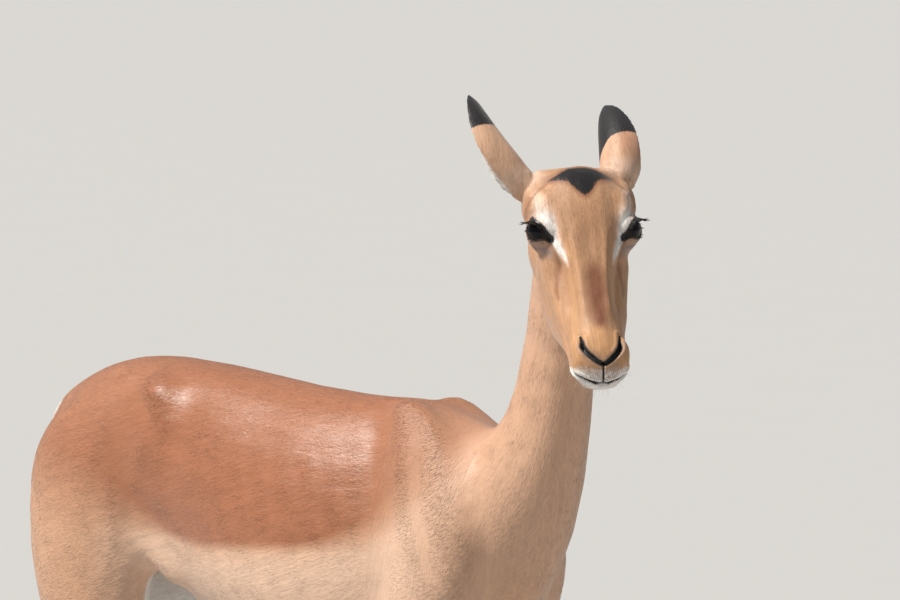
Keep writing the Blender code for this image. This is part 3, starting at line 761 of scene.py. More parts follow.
FACE_STREAKS = (  # mark, strength, path and half widths
    ("dark", 0.75, TEAR_LINE, TEAR_WIDTHS),
    ("black", 0.52, TEMPLE_LINE, TEMPLE_WIDTHS),
    ("rust", 0.60, TEMPLE_LINE, TEMPLE_WIDTHS * 2.2),
    ("grey", 1.0, UNDER_EYE_PATCH, UNDER_EYE_WIDTHS),
)
# The patch between the ears: its lower and upper edges along the bridge, at distances from the middle
PATCH_LOW = mm((0, 41.5), (6, 37), (11.5, 29), (16, 21.5), (27, 17.1), (34.5, 13.5))
PATCH_TOP = mm((0, 0.5), (11, 1.5), (19, 6.2), (25, 10.5), (34.5, 13.2))
PATCH_HALF = 0.0335
PATCH_BLUR = 0.0062
BRIDGE_STRIPE = mm((100, 3), (125, 8), (150, 9.8), (180, 9.2), (200, 6))  # half width at places along it
# The saddle, at places along her length: its lower edge, how wide that fades, and how strong the colour is
SADDLE_EDGE = mm((-500, 700), (-400, 695), (-320, 682), (-260, 664), (-200, 650), (-143, 645), (-90, 648),
                 (-37, 651), (10, 654), (46.5, 659), (94, 672), (145, 706), (190, 745), (250, 800),
                 (360, 960))
SADDLE_BLUR = mm((-420, 100), (-330, 90), (-270, 50), (-220, 13), (30, 13), (80, 30), (120, 70), (200, 100),
                 (300, 160))
SADDLE_STRENGTH = ((-0.46, 0.70), (-0.40, 0.85), (-0.28, 0.95), (-0.22, 1), (0.06, 1), (0.11, 0.82),
                   (0.16, 0.60), (0.22, 0.42), (0.30, 0.25))
BELLY_EDGE = mm((-240, 585), (-170, 580), (-100, 560), (0, 545), (100, 535), (180, 530))
TAIL_LINE = mm((550, 10), (600, 6.5), (760, 5.5), (800, 3))  # half width at heights
RUMP_STRIPE = mm((-425, 40, 805), (-440, 52, 780), (-455, 66, 700), (-455, 74, 630), (-445, 75, 570),
                 (-425, 70, 520))
RUMP_WIDTHS = mm(2, 5, 6.8, 6.6, 5.5, 2)

MARKS = ("saddle", "cream", "gold", "rust", "grey", "dark", "white", "black", "face", "ear", "inner")


def read_off(places, table):
    """A table's second column at places in its first."""
    return np.interp(places, *np.asarray(table).T)


def adder(marks):
    def add(name, value):
        marks[name] = np.maximum(marks[name], value)

    return add


def head_marks(rest, marks, paths):
    """Adds the face's markings, and painted shade along the creases beside the bridge; every mark is 0 to 1
    with its edge at a half.
    """
    add = adder(marks)
    head = to_head(rest)
    s, y, t = head.T
    side = np.abs(y)
    on_top = t > -0.03
    upper = t > -0.045
    patch = np.minimum(read_off(side, PATCH_LOW) - s, s - read_off(side, PATCH_TOP))
    patch = np.minimum(patch, PATCH_HALF - side)
    add("black", np.clip(0.5 + patch / PATCH_BLUR, 0, 1) * upper)
    add("rust", 0.80 * within(np.maximum(-patch, 0), 0.0055) * upper)
    add("rust", 0.24 * band(s, 0.030, 0.060, 0.080, 0.105) * ramp(side, 0.026, 0.008) * on_top)
    # rust along the crease beside the bridge: partly the coat's own rust edging, partly painted shade of the
    # crease under the bridge's steep side
    crease_rust_and_shade = within(np.abs(side - 0.0300), 0.0060) * band(s, 0.095, 0.130, 0.175, 0.195)
    add("rust", 0.34 * crease_rust_and_shade * ramp(t, -0.034, -0.022))
    for sign in SIDES.values():
        gap, along = path_distance(head, mirrored(BROW_STREAK, sign))
        brow = within(gap, along_path(along, BROW_STREAK, BROW_WIDTHS))
        add("white", brow * along_path(along, BROW_STREAK, BROW_WHITE))
        add("cream", 0.9 * np.clip(1.6 * brow, 0, 1))
        for name, strength, path, widths in FACE_STREAKS:
            add(name, strength * streak(head, mirrored(path, sign), widths))
        gap, up, nose, _ = lid_shape(head, sign)
        near = gap < NEAR_LIDS
        rim = np.where(up > 0, 0.0021, 0.0013)
        rim = rim + 0.0016 * ramp(nose, 0.012, 0.018) + 0.0018 * ramp(nose, -0.008, -0.016)
        add("black", within(np.maximum(gap, 0), rim) * near)
        above = ramp(up, 0.003, 0.006) * ramp(nose, -0.002, -0.008) * near
        add("grey", 0.75 * within(np.maximum(gap - 0.003, 0), 0.0035) * above)
        nostril, mouth = paths[sign]
        gap, along = path_distance(head, nostril)
        half = along_path(along, NOSTRIL, NOSTRIL_WIDTHS)
        add("black", within(gap, half + 0.0005))
        add("grey", 0.55 * within(np.maximum(gap - half, 0), 0.0030) * ramp(along, 0.05, 0.3))
        gap, along = path_distance(head, mouth)
        add("black", within(gap, along_path(along, MOUTH, MOUTH_WIDTHS)) * ramp(along, 0.75, 0.55))
        lips = within(gap, along_path(along, MOUTH, LIP_WIDTHS))
        hairs = np.clip(0.55 + 0.8 * np.sin(3300 * y + 900 * t), 0, 1)
        upper_lip = ramp(side, 0.024, 0.012) * band(t, -0.0285, -0.0235, -0.013, -0.009)
        add("white", lips * ramp(t, -0.0095, -0.0140) * (1 - 0.55 * hairs * upper_lip))
        add("grey", lips * upper_lip)
    gap, _ = path_distance(head, paths["cleft"])
    add("black", within(gap, 0.0011))
    add("white", 0.75 * ramp(s, 0.185, 0.215) * ramp(t, -0.040, -0.050))
    add("white", 0.5 * ramp(s, -0.03, 0.07) * ramp(t, -0.080, -0.108) * ramp(side, 0.036, 0.016))
    stripe = within(np.abs(y - 0.0015), read_off(s, BRIDGE_STRIPE))
    add("rust", stripe * band(s, 0.095, 0.135, 0.184, 0.204) * on_top)
    add("gold", 0.85 * ramp(s, 0.180, 0.200) * ramp(t, -0.034, -0.020))
    add("gold", 0.55 * within(np.abs(side - 0.0215), 0.0055) * ramp(s, 0.080, 0.110) * on_top)
    add("face", ramp(s, -0.05, 0.01) * ramp(t, -0.125, -0.085))


def ear_marks(rest, normals, marks):
    """Black tip and rims, a pale root and white inside, and painted shade on the outer half of the left ear,
    in place of what the head's marks give the ears.
    """
    for side in SIDES:
        share = ear_share(rest, side)
        u, v, _, _, _, away = ear_place(rest, side)
        rim_in, rim_out = EAR_RIM[side]
        inner = np.clip(0.5 - 2.5 * dots(normals, away), 0, 1) * ramp(u, 0.12, 0.22)
        black = (
            np.clip(0.5 + (u - read_off(v, EAR_BLACK[side])) / 0.055, 0, 1),
            np.clip(0.5 - (v + 0.98) / 0.18, 0, 1) * ramp(u, rim_in - 0.05, rim_in + 0.05),
            np.clip(0.5 + (v - 0.93) / 0.20, 0, 1) * ramp(u, rim_out - 0.05, rim_out + 0.05),
        )
        cream = ramp(u, 0.40, 0.10)
        streaky = ramp(v, 0.70, 0.95) * ramp(u, 0.50, 0.40) * (1 - inner) * (side == "right")
        # painted shade: the outer half of the left ear's cup is darkened with the saddle's colour, as if
        # turned away from the light
        shaded = ramp(v, 0.15, 0.35) * ramp(u, 0.15, 0.35) * (side == "left")
        own = {
            "black": np.maximum.reduce(black),
            "white": np.maximum(0.9 * inner, 0.75 * streaky),
            "cream": np.maximum(cream, 0.35),
            "grey": 0.25 * cream * (1 - inner),
            # the saddle's colour here is painted shade, not a marking
            "saddle": 0.45 * shaded,
            "ear": 1.0,
            "face": 1.0,
            "inner": inner,
        }
        for name in MARKS:
            marks[name] = marks[name] * (1 - share) + own.get(name, 0.0) * share


def body_marks(points, normals, marks):
    """Adds the saddle, the pale flank, the white of belly and rump, and the black of rump, tail and shank."""
    add = adder(marks)
    x, y, z = points.T
    out = np.abs(y - MIDLINE)
    outward = np.sign(y - MIDLINE) * normals[:, 1]
    edge = read_off(x, SADDLE_EDGE)
    saddle = np.clip(0.5 + (z - edge) / read_off(x, SADDLE_BLUR), 0, 1)
    on_neck = ramp(z, 0.80, 0.90) * ramp(x, 0.16, 0.22)
    saddle = saddle * read_off(x, SADDLE_STRENGTH) * (1 - 0.75 * on_neck)
    belly = np.clip(0.5 + (read_off(x, BELLY_EDGE) - z) / 0.020, 0, 1) * band(x, -0.25, -0.22, 0.16, 0.22)
    between = np.maximum(band(x, -0.20, -0.14, 0.04, 0.10), ramp(out, 0.040, 0.025))
    add("white", belly * ramp(z, 0.44, 0.47) * ramp(normals[:, 2], 0.25, -0.05) * between)
    leg_in = band(z, 0.20, 0.40, 0.48, 0.58) * ramp(outward, -0.05, -0.60) * ramp(out, 0.075, 0.050)
    add("white", 0.55 * leg_in)
    inside_leg = ramp(outward, 0.05, -0.35) * ramp(out, 0.075, 0.055)
    groin = ramp(z, 0.62, 0.58) * band(x, -0.40, -0.34, -0.22, -0.16)
    add("white", 0.9 * groin * np.maximum(ramp(out, 0.045, 0.030), inside_leg))
    add("white", ramp(x, -0.425, -0.452) * ramp(out, 0.052, 0.040) * band(z, 0.56, 0.62, 0.775, 0.815))
    breech = ramp(x, -0.33, -0.37) * ramp(outward, 0.25, -0.25) * ramp(out, 0.065, 0.045)
    add("white", 0.85 * breech * band(z, 0.42, 0.50, 0.64, 0.70))
    add("black", streak(np.stack([x, out, z], axis=1), RUMP_STRIPE, RUMP_WIDTHS) * ramp(z, 0.47, 0.52))
    low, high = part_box("tail")
    middle = (low.y + high.y) / 2
    on_tail = ramp(x, high.x + 0.004, high.x - 0.004) * (np.abs(y - middle) < 0.03)
    behind = ramp(normals[:, 0], -0.2, -0.7)
    add("black", on_tail * within(np.abs(y - middle), read_off(z, TAIL_LINE)) * behind)
    add("white", on_tail * np.maximum(0.95 * (1 - behind), 0.85 * ramp(z, 0.66, 0.60)))
    shank = ramp(x, -0.18, -0.22) * band(z, 0.085, 0.100, 0.135, 0.155)
    add("black", shank * ramp(normals[:, 0], -0.15, -0.55))
    add("dark", 0.7 * ramp(z, 0.043, 0.036))
    flank = ramp(z, 0.30, 0.50) * ramp(x, 0.30, 0.10) * ramp(x, -0.34, -0.24)
    add("cream", 0.85 * ramp(z, edge + 0.02, edge - 0.03) * flank)
    add("cream", 0.25 * ramp(x, 0.10, 0.18) * ramp(z, 0.58, 0.66))
    add("saddle", saddle * (1 - on_tail * 0.4))


def mark_part(marks, here, paint):
    """Lets a function change the marks of some of the points."""
    local = {name: marks[name][here] for name in MARKS}
    paint(local)
    for name in MARKS:
        marks[name][here] = local[name]


def make_marks(mesh, paths):
    points = rest_of(mesh)
    normals = vertex_normals(mesh)
    head = to_head(points)
    marks = {name: np.zeros(len(points)) for name in MARKS}
    on_head = (head[:, 0] > -0.045) & (head[:, 2] > -0.135) & (points[:, 2] > 0.83)
    mark_part(marks, on_head, lambda local: head_marks(points[on_head], local, paths))
    body = {name: marks[name].copy() for name in MARKS}
    body_marks(points, normals, body)
    fade = ramp(points[:, 2], 1.0, 0.9) * (1 - marks["face"])
    for name in MARKS:
        keep = fade if name in ("saddle", "cream") else 1.0
        marks[name] = np.maximum(marks[name], body[name] * np.where(on_head, fade, keep))
    top = (points[:, 2] > EARS_ABOVE) & (head[:, 0] < 0.07)
    mark_part(marks, top, lambda local: ear_marks(points[top], normals[top], local))
    for name in MARKS:
        set_attribute(mesh, f"mark_{name}", marks[name])
    return marks


TRUNK_LIE = (-1.0, 0.0, -0.30)
NECK_LIE = (-0.30, 0.10, -0.95)
LEG_LIE = (-0.05, 0.0, -1.0)


def coat_lie(mesh, marks):
    """Unit vectors along the surface, the way the hair lies."""
    points = coordinates(mesh)
    normals = vertex_normals(mesh)
    x, z = points[:, 0], points[:, 2]
    head = to_head(points)
    sideways = np.sign(head[:, 1])[:, None] * TO_WORLD[1] * ramp(head[:, 2], -0.01, -0.06)[:, None]
    below = -TO_WORLD[2] * ramp(head[:, 2], -0.02, -0.07)[:, None]
    behind = np.maximum(ramp(x, -0.465, -0.473), ramp(x, -0.36, -0.44) * ramp(z, 0.80, 0.70))
    regions = [
        (ramp(z, 0.58, 0.48), LEG_LIE),
        (ramp(x, 0.14, 0.22) * ramp(z, 0.62, 0.80), NECK_LIE),
        (behind, LEG_LIE),
        (marks["face"], -TO_WORLD[0] + 0.25 * sideways + 0.35 * below),
    ]
    regions += [(ear_share(points, side), ear_place(points, side)[3]) for side in SIDES]
    flow = np.tile(TRUNK_LIE, (len(points), 1))
    for share, lie in regions:
        flow = flow * (1 - share)[:, None] + np.asarray(lie) * share[:, None]
    flow = relaxed(unit(flow), mesh_edges(mesh), 12, keep_volume=False)
    return unit(flow - normals * dots(flow, normals)[:, None])


def unwrap(obj):
    """The skin's own map, which the coat's pieces share."""
    obj.data.uv_layers.new(name="OFBake")
    bpy.context.view_layer.objects.active = obj
    for other in bpy.context.selected_objects:
        other.select_set(False)
    obj.select_set(True)
    bpy.ops.object.mode_set(mode="EDIT")
    bpy.ops.mesh.select_all(action="SELECT")
    bpy.ops.uv.smart_project(angle_limit=math.radians(62), island_margin=0.002, area_weight=0.2)
    bpy.ops.object.mode_set(mode="OBJECT")


STATE = {}


def build_skin():
    flesh = flesh_blank(FLESH_NODES, BODY_GRAIN, BODY_ROUNDS, body_softness)
    head = fine_head()
    for mesh in (flesh, head):
        points = coordinates(mesh)
        normals = vertex_normals(mesh)
        points = relief_body(points, normals * (points[:, 2] < RELIEF_BELOW)[:, None])
        ear = over_ears(points, ear_share) * (points[:, 2] > EARS_ABOVE)
        depth = coat_depth(points) * (1 - ear) + EAR_COAT_DEPTH * ear
        set_coordinates(mesh, points - normals * depth[:, None])
        keep_rest(mesh)
    paths = sculpt_head(head)
    mesh = joined_skin(flesh, head)
    mesh.shade_smooth()
    skin = linked(mesh, "skin")
    marks = make_marks(mesh, paths)
    set_attribute(mesh, "tone", np.full(len(mesh.vertices), 0.5))
    STATE.update(lie=coat_lie(mesh, marks), skin=skin, paths=paths)
    unwrap(skin)
    mesh.materials.append(coat_material())
    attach(skin, "root")
    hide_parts(*FLESH_NODES, *EAR_NODES)


# ---------------------------------------------------------------- materials


def both_ways(operation):
    """Methods for an operator and its reflected form, which add a Math node."""

    def plain(self, other):
        return self.board.node("ShaderNodeMath", {"operation": operation}, {0: self, 1: other})

    def reflected(self, other):
        return self.board.node("ShaderNodeMath", {"operation": operation}, {0: other, 1: self})

    return plain, reflected


class Wire:
    """A value in a material. Python's operators add Math nodes to it."""

    def __init__(self, board, socket):
        self.board = board
        self.socket = socket

    __add__, __radd__ = both_ways("ADD")
    __sub__, __rsub__ = both_ways("SUBTRACT")
    __mul__, __rmul__ = both_ways("MULTIPLY")
    __truediv__, __rtruediv__ = both_ways("DIVIDE")

    def clamped(self):
        return self.board.node("ShaderNodeMath", {"operation": "ADD", "use_clamp": True}, {0: self, 1: 0.0})


class Board:
    """A material and the nodes on it."""

    def __init__(self, name):
        self.material = bpy.data.materials.new(name)
        self.material.use_nodes = True
        self.tree = self.material.node_tree
        self.shader = self.tree.nodes["Principled BSDF"]

    def node(self, kind, settings=None, inputs=None, output=0):
        made = self.tree.nodes.new(kind)
        for name, value in (settings or {}).items():
            setattr(made, name, value)
        for key, value in (inputs or {}).items():
            self.put(made.inputs[key], value)
        return Wire(self, made.outputs[output])

    def put(self, socket, value):
        if isinstance(value, Wire):
            self.tree.links.new(value.socket, socket)
        elif socket.type == "RGBA":
            socket.default_value = (*value, 1)
        else:
            socket.default_value = value

    def set(self, **values):
        """Sets the shader's sockets; an underscore in a name stands for a space."""
        for name, value in values.items():
            self.put(self.shader.inputs[name.replace("_", " ")], value)

    def attribute(self, name):
        return self.node("ShaderNodeAttribute", {"attribute_name": name}, output=2)

    def mix(self, factor, first, second):
        settings = {"data_type": "RGBA", "blend_type": "MIX"}
        return self.node("ShaderNodeMix", settings, {0: factor, 6: first, 7: second}, 2)

    def vector(self, operation, inputs, output=0):
        return self.node("ShaderNodeVectorMath", {"operation": operation}, inputs, output)

    def tinted(self, colour, factor):
        """The colour times a varying number."""
        return self.vector("SCALE", {0: colour, 3: factor})

    def noise(self, where, scale, detail=2.0, roughness=0.5):
        inputs = {"Vector": where, "Scale": scale, "Detail": detail, "Roughness": roughness}
        return self.node("ShaderNodeTexNoise", {}, inputs)

    def place(self):
        return self.node("ShaderNodeTexCoord", output=3)

    def axis(self, where, index):
        return self.node("ShaderNodeSeparateXYZ", {}, {0: where}, index)

    def bump(self, strength, distance, height):
        inputs = {"Strength": strength, "Distance": distance, "Height": height}
        self.set(Normal=self.node("ShaderNodeBump", {}, inputs))

    def stretched(self, where, along, squeeze):
        """Coordinates in which a pattern is drawn out along a direction."""
        pull = self.vector("DOT_PRODUCT", {0: where, 1: along}, 1)
        push = self.vector("SCALE", {0: along, 3: pull * (squeeze - 1.0)})
        return self.vector("ADD", {0: where, 1: push})


TRUNK_GRAIN = (-0.958, 0.0, -0.287)


def coat_material():
    """Hair and skin alike: the markings with hair-broken edges, and the grain of the coat."""
    if "coat" in STATE:
        return STATE["coat"]
    colours = bpy.context.scene.ewe_colours
    board = Board("coat")
    mark = {name: board.attribute(f"mark_{name}") for name in MARKS if name != "inner"}
    face = mark["face"]
    where = board.place()
    forward, height = board.axis(where, 0), board.axis(where, 2)
    upright = ((forward - 0.10) * 9.0).clamped() + ((0.56 - height) * 9.0).clamped()
    grain = board.stretched(where, TRUNK_GRAIN, 0.10)
    for factor, along, squeeze in ((upright.clamped(), NECK_LIE, 0.10), (face, tuple(TO_WORLD[0]), 0.09)):
        inputs = {0: factor, 4: grain, 5: board.stretched(where, along, squeeze)}
        grain = board.node("ShaderNodeMix", {"data_type": "VECTOR"}, inputs, 1)
    fine = board.noise(grain, 1150.0, 2.0, 0.6)
    strand = board.noise(grain, 420.0, 3.0, 0.6)
    lock = board.noise(grain, 120.0, 2.0, 0.55)
    cloud = board.noise(where, 14.0, 3.0, 0.6)
    ragged = (strand - 0.5) * 0.9 + (fine - 0.5) * 0.6

    def sharp(name, gain, fray):
        return ((mark[name] + ragged * fray - 0.5) * gain + 0.5).clamped()

    base = board.mix(face, colours.fawn, colours.face)
    base = board.mix(mark["cream"].clamped(), base, colours.cream)
    base = board.mix((mark["saddle"] + ragged * 0.10).clamped(), base, colours.saddle)
    base = board.mix(mark["gold"].clamped(), base, colours.gold)
    rust = mark["rust"] * (0.80 + lock * 1.1) + ragged * 0.7 - 0.20
    base = board.mix(rust.clamped(), base, colours.rust)
    base = board.mix((mark["grey"] + ragged * 0.35).clamped(), base, colours.grey)
    base = board.mix((mark["dark"] + ragged * 0.4).clamped() * 0.85, base, colours.rust)
    base = board.mix(sharp("white", 2.6, 0.5), base, colours.white)
    black = sharp("black", 5.0, 0.42)
    shade = 0.80 + 0.40 * board.attribute("tone") + (lock - 0.5) * (0.30 + 0.25 * face)
    shade = shade + (strand - 0.5) * (0.34 + 0.34 * face) + (fine - 0.5) * 0.25 + (cloud - 0.5) * 0.16
    rough = 0.44 + (strand - 0.5) * 0.25 + 0.10 * face - 0.05 * black - 0.08 * mark["saddle"].clamped()
    bare = black * face * (1 - mark["ear"])
    board.set(Base_Color=board.mix(black, board.tinted(base, shade), colours.black))
    board.set(Roughness=(rough - 0.12 * bare).clamped(), Metallic=0.0)
    board.set(IOR=1.42, Sheen_Weight=0.18, Sheen_Roughness=0.45, Specular_IOR_Level=0.42)
    board.bump(0.55, 0.0011, fine * 0.35 + strand * 0.55 + lock * 0.9)
    STATE["coat"] = board.material
    return board.material


def eye_material():
    """Near-black eye: a dark brown iris round an oblong pupil, under a wet surface."""
    board = Board("eye")
    gaze, level, upright = (board.attribute(name) for name in ("gaze", "level", "upright"))
    pupil = ((1.0 - (level * level) / 0.30 - (upright * upright) / 0.085) * 4.0).clamped()
    iris = ((gaze - 0.70) * 9.0).clamped()
    fleck = board.noise(board.place(), 900.0, 3.0, 0.6)
    brown = board.tinted((0.016, 0.0075, 0.0035), 0.6 + fleck * 0.9)
    ball = board.mix(iris, (0.006, 0.004, 0.003), brown)
    board.set(Base_Color=board.mix(pupil, ball, (0.002, 0.002, 0.003)), Roughness=0.16, IOR=1.33)
    board.set(Specular_IOR_Level=0.25, Coat_Weight=0.30, Coat_Roughness=0.05, Coat_IOR=1.33)
    return board.material


def horn_material():
    """Black horn with growth rings, paler and rougher where it wears at the floor."""
    board = Board("hoof_horn")
    where = board.place()
    height = board.axis(where, 2)
    wobble = board.noise(where, 60.0, 2.0)
    rings = board.node("ShaderNodeMath", {"operation": "SINE"}, {0: (height + wobble * 0.0022) * 2300.0})
    streaks = board.noise(board.stretched(where, (0.25, 0.0, 0.97), 0.08), 520.0, 3.0, 0.6)
    worn = ((0.006 - height) * 260.0 + (wobble - 0.5) * 1.6).clamped()
    tint = board.tinted((0.024, 0.020, 0.017), 0.55 + streaks * 0.9 + rings * 0.06)
    board.set(Base_Color=board.mix(worn * 0.6, tint, (0.13, 0.105, 0.08)))
    board.set(Roughness=(0.34 + worn * 0.35 + (streaks - 0.5) * 0.25).clamped(), Coat_Weight=0.15)
    board.bump(0.5, 0.0006, rings * 0.5 + streaks)
    return board.material


def lash_material():
    board = Board("lashes")
    tone = board.attribute("tone")
    streaks = board.noise(board.place(), 700.0, 2.0)
    tint = board.tinted((0.013, 0.011, 0.010), 0.5 + tone * 0.6 + streaks * 0.4)
    board.set(Base_Color=tint, Roughness=0.38)
    return board.material


def floor_material():
    board = Board("pale_floor")
    grain = board.noise(board.place(), 3.0, 4.0, 0.55)
    board.set(Base_Color=board.tinted((0.46, 0.46, 0.455), 0.985 + grain * 0.03), Roughness=0.9)
    return board.material


# ---------------------------------------------------------------- the coat in tufts


class Ground:
    """The skin as tufts see it: places to grow from, with normal, lie, marks and map there."""

    def __init__(self, skin, lie):
        mesh = skin.data
        mesh.calc_loop_triangles()
        self.points = coordinates(mesh)
        self.normals = vertex_normals(mesh)
        self.lie = lie
        self.corners = read(mesh.loop_triangles, "vertices", 3, int)
        self.loops = read(mesh.loop_triangles, "loops", 3, int)
        self.uv = read(mesh.uv_layers["OFBake"].data, "uv", 2)
        self.marks = {name: get_attribute(mesh, f"mark_{name}") for name in MARKS}
        self.rest = rest_of(mesh)
        a, b, c = (self.points[self.corners[:, k]] for k in range(3))
        self.area = 0.5 * np.linalg.norm(np.cross(b - a, c - a), axis=1)
        self.middle = (a + b + c) / 3

    def mean(self, name):
        """A mark's mean on each triangle."""
        return self.marks[name][self.corners].mean(1)

    def roots(self, share, rng):
        """Random places; share is the number wanted per square metre on each triangle."""
        wanted = self.area * share
        count = (wanted + rng.random(len(wanted))).astype(int)
        face = np.repeat(np.arange(len(count)), count)
        first = np.sqrt(rng.random(len(face)))
        second = rng.random(len(face))
        blend = np.stack([1 - first, first * (1 - second), first * second], axis=1)
        corners = self.corners[face]

        def mixed(values):
            return np.einsum("ij,ij...->i...", blend, values[corners])

        found = {"at": mixed(self.points), "normal": unit(mixed(self.normals)), "lie": mixed(self.lie)}
        found["rest"] = mixed(self.rest)
        found["uv"] = np.einsum("ij,ijk->ik", blend, self.uv[self.loops[face]])
        for name in MARKS:
            found[name] = mixed(self.marks[name])
        return found


def chosen(roots, keep):
    return {name: values[keep] for name, values in roots.items()}


SEEDS = {"body": 11, "face": 12, "long": 13, "lashes": 14, "whiskers": 15}
LOCKS_PER_M2 = {"tail": 260000, "shank": 1500000, "whiskers": 9000}
LOCK_WIDTH = {"tail": 0.0016, "shank": 0.0013, "ear": 0.0005, "lashes": 0.0010, "whiskers": 0.00022}
SHANK_LENGTH = 0.017
FRINGE_LENGTH = 0.0075
WHISKER_LENGTH = 0.0080
WHISKER_SAG = (0, 0, -0.0009)


def varied(rng, count, spread, low=0.6, high=1.4):
    """Random factors about 1."""
    return np.clip(rng.normal(1, spread, count), low, high)


def painted(roots, **shares):
    """Gives all the roots the same marks."""
    for name in MARKS:
        roots[name] = np.full(len(roots["at"]), shares.get(name, 0.0))


def tuft_frames(roots, rng, swirl):
    """Lie and sideways directions along the surface, turned a little at random."""
    normal = roots["normal"]
    lie = unit(roots["lie"] - normal * dots(roots["lie"], normal)[:, None])
    side = np.cross(normal, lie)
    turn = rng.normal(0, swirl, len(lie))
    return normal, turned(lie, side, turn), turned(side, -lie, turn)


UV_PATCH = 0.0015  # a tuft's corners lie this far from its root's place on the map
UV_TURN = 2.4


def tuft_mesh(name, points, faces, normals, roots, rng, material=None):
    """A piece of coat from tufts of several vertices each, with their marks, shading and map."""
    mesh = bpy.data.meshes.new(name)
    count = len(roots["at"])
    per_tuft = points.shape[1]
    every = (np.arange(count)[:, None, None] * per_tuft + np.array(faces)).reshape(-1, 3)
    mesh.vertices.add(count * per_tuft)
    write(mesh.vertices, "co", points)
    mesh.loops.add(every.size)
    write(mesh.loops, "vertex_index", every, np.int32)
    mesh.polygons.add(len(every))
    write(mesh.polygons, "loop_start", np.arange(0, every.size, 3), np.int32)
    mesh.update(calc_edges=True)
    mesh.shade_smooth()
    for mark in MARKS:
        set_attribute(mesh, f"mark_{mark}", np.repeat(roots[mark], per_tuft))
    set_attribute(mesh, "tone", np.repeat(np.clip(rng.normal(0.5, 0.22, count), 0, 1), per_tuft))
    turns = UV_TURN * np.arange(per_tuft)
    spots = np.stack([np.cos(turns), np.sin(turns)], axis=1) * UV_PATCH
    uv = (roots["uv"][:, None, :] + spots).reshape(-1, 2)
    write(mesh.uv_layers.new(name="OFBake").data, "uv", uv[every.ravel()])
    mesh.normals_split_custom_set_from_vertices(normals.reshape(-1, 3).astype(np.float32))
    piece = linked(mesh, name)
    mesh.materials.append(material or coat_material())
    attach(piece, "root")


TUFT_FACES = ((0, 3, 1), (1, 3, 2), (2, 3, 0), (0, 1, 2))
TUFT_SWIRL = 0.10
TUFT_SUNK = 0.05  # how far a root is sunk, and how high the ridge stands, in widths
TUFT_RIDGE = 0.16
TUFT_LEAN = 0.12  # how far the light falls on its two sides as on a rounded one
STRAYS = 0.05


def short_tufts(name, roots, length, width, lift, rng):
    """Flat four-sided slivers that lie along the coat; length, width and lift are per tuft."""
    count = len(length)
    normal, lie, side = tuft_frames(roots, rng, TUFT_SWIRL)
    size = varied(rng, count, 0.18, 0.5, 1.6)
    length = (length * size)[:, None]
    width = (width * size)[:, None]
    stray = np.where(rng.random(count) < STRAYS, 2.0, 1.0)
    rise = (lift * stray * varied(rng, count, 0.35, 0.2, 2.2))[:, None]
    root = roots["at"] - normal * width * TUFT_SUNK
    ridge = root + normal * width * TUFT_RIDGE + lie * length * 0.10
    tip = root + lie * length + normal * rise
    points = np.stack([root - side * width / 2, ridge, root + side * width / 2, tip], axis=1)
    tilt = rng.normal(0, 0.05, (count, 1))
    shown = [unit(normal + side * lean + lie * tilt) for lean in (-TUFT_LEAN, 0.0, TUFT_LEAN)]
    shown.append(unit(normal + lie * (tilt + 0.06)))
    tuft_mesh(name, points, TUFT_FACES, np.stack(shown, axis=1), roots, rng)


LOCK_TURNS = (0.0, 2.1, 4.2)
LOCK_FACES = (
    (0, 3, 1), (1, 3, 4), (1, 4, 2), (2, 4, 5), (2, 5, 0), (0, 5, 3),
    (3, 6, 4), (4, 6, 5), (5, 6, 3),
)


def long_locks(name, roots, mid, tip, width, rng, material=None, blend=0.7):
    """Curved three-sided locks: mid and tip are offsets from the roots, and blend is how far the light falls
    on them as on the skin below."""
    normal, _, _ = tuft_frames(roots, rng, 0.0)
    root = roots["at"] - normal * 0.0006
    across = unit(np.cross(tip, normal + 1e-6))
    thick = unit(np.cross(across, tip))
    rings = []
    for place, share in ((root, 0.5), (root + mid, 0.42)):
        for turn in LOCK_TURNS:
            rings.append(place + (across * math.cos(turn) + thick * math.sin(turn) * 0.6) * width * share)
    shade = []
    for turn in LOCK_TURNS * 2:
        shade.append(unit(normal * blend + across * math.cos(turn) * 0.5 + thick * math.sin(turn) * 0.5))
    points = np.stack([*rings, root + tip], axis=1)
    normals = np.stack([*shade, unit(normal * blend + unit(tip) * 0.2)], axis=1)
    tuft_mesh(name, points, LOCK_FACES, normals, roots, rng, material)


def ground():
    if "ground" not in STATE:
        STATE["ground"] = Ground(STATE["skin"], STATE["lie"])
    return STATE["ground"]


def clear_of_eyes(rest, margin=0.0008):
    """False for places within the lids' openings."""
    head = to_head(rest)
    return np.minimum.reduce([lid_shape(head, sign)[0] for sign in SIDES.values()]) > margin


BODY_PIECES = ("coat_rump", "coat_haunch", "coat_flank", "coat_ribs", "coat_shoulder", "coat_neck")


def tufts_wanted(per_mm2, share):
    return per_mm2 * 1e6 * share * 1


def body_coat(settings):
    """The trunk, neck, legs and tail, in pieces of like size from rump to neck."""
    land = ground()
    rng = np.random.default_rng(SEEDS["body"])
    off_face = 1 - np.clip(land.mean("face") * 1.4, 0, 1)
    share = off_face * (1 + 0.5 * ramp(land.middle[:, 2], 0.48, 0.30))
    roots = land.roots(tufts_wanted(settings.body_density, share), rng)
    x, _, z = roots["at"].T
    leg = ramp(z, 0.46, 0.30)
    neck = ramp(x, 0.14, 0.22) * ramp(z, 0.60, 0.72)
    belly = roots["white"] * (1 - leg)
    length = settings.body_length * (1 - 0.40 * leg + 0.10 * neck + 0.10 * belly)
    width = settings.body_width * (1 - 0.20 * leg)
    lift = 0.00014 - 0.00004 * leg + 0.00006 * belly
    order = np.argsort(x, kind="stable")
    for name, here in zip(BODY_PIECES, np.array_split(order, len(BODY_PIECES))):
        short_tufts(name, chosen(roots, here), length[here], width[here], lift[here], rng)


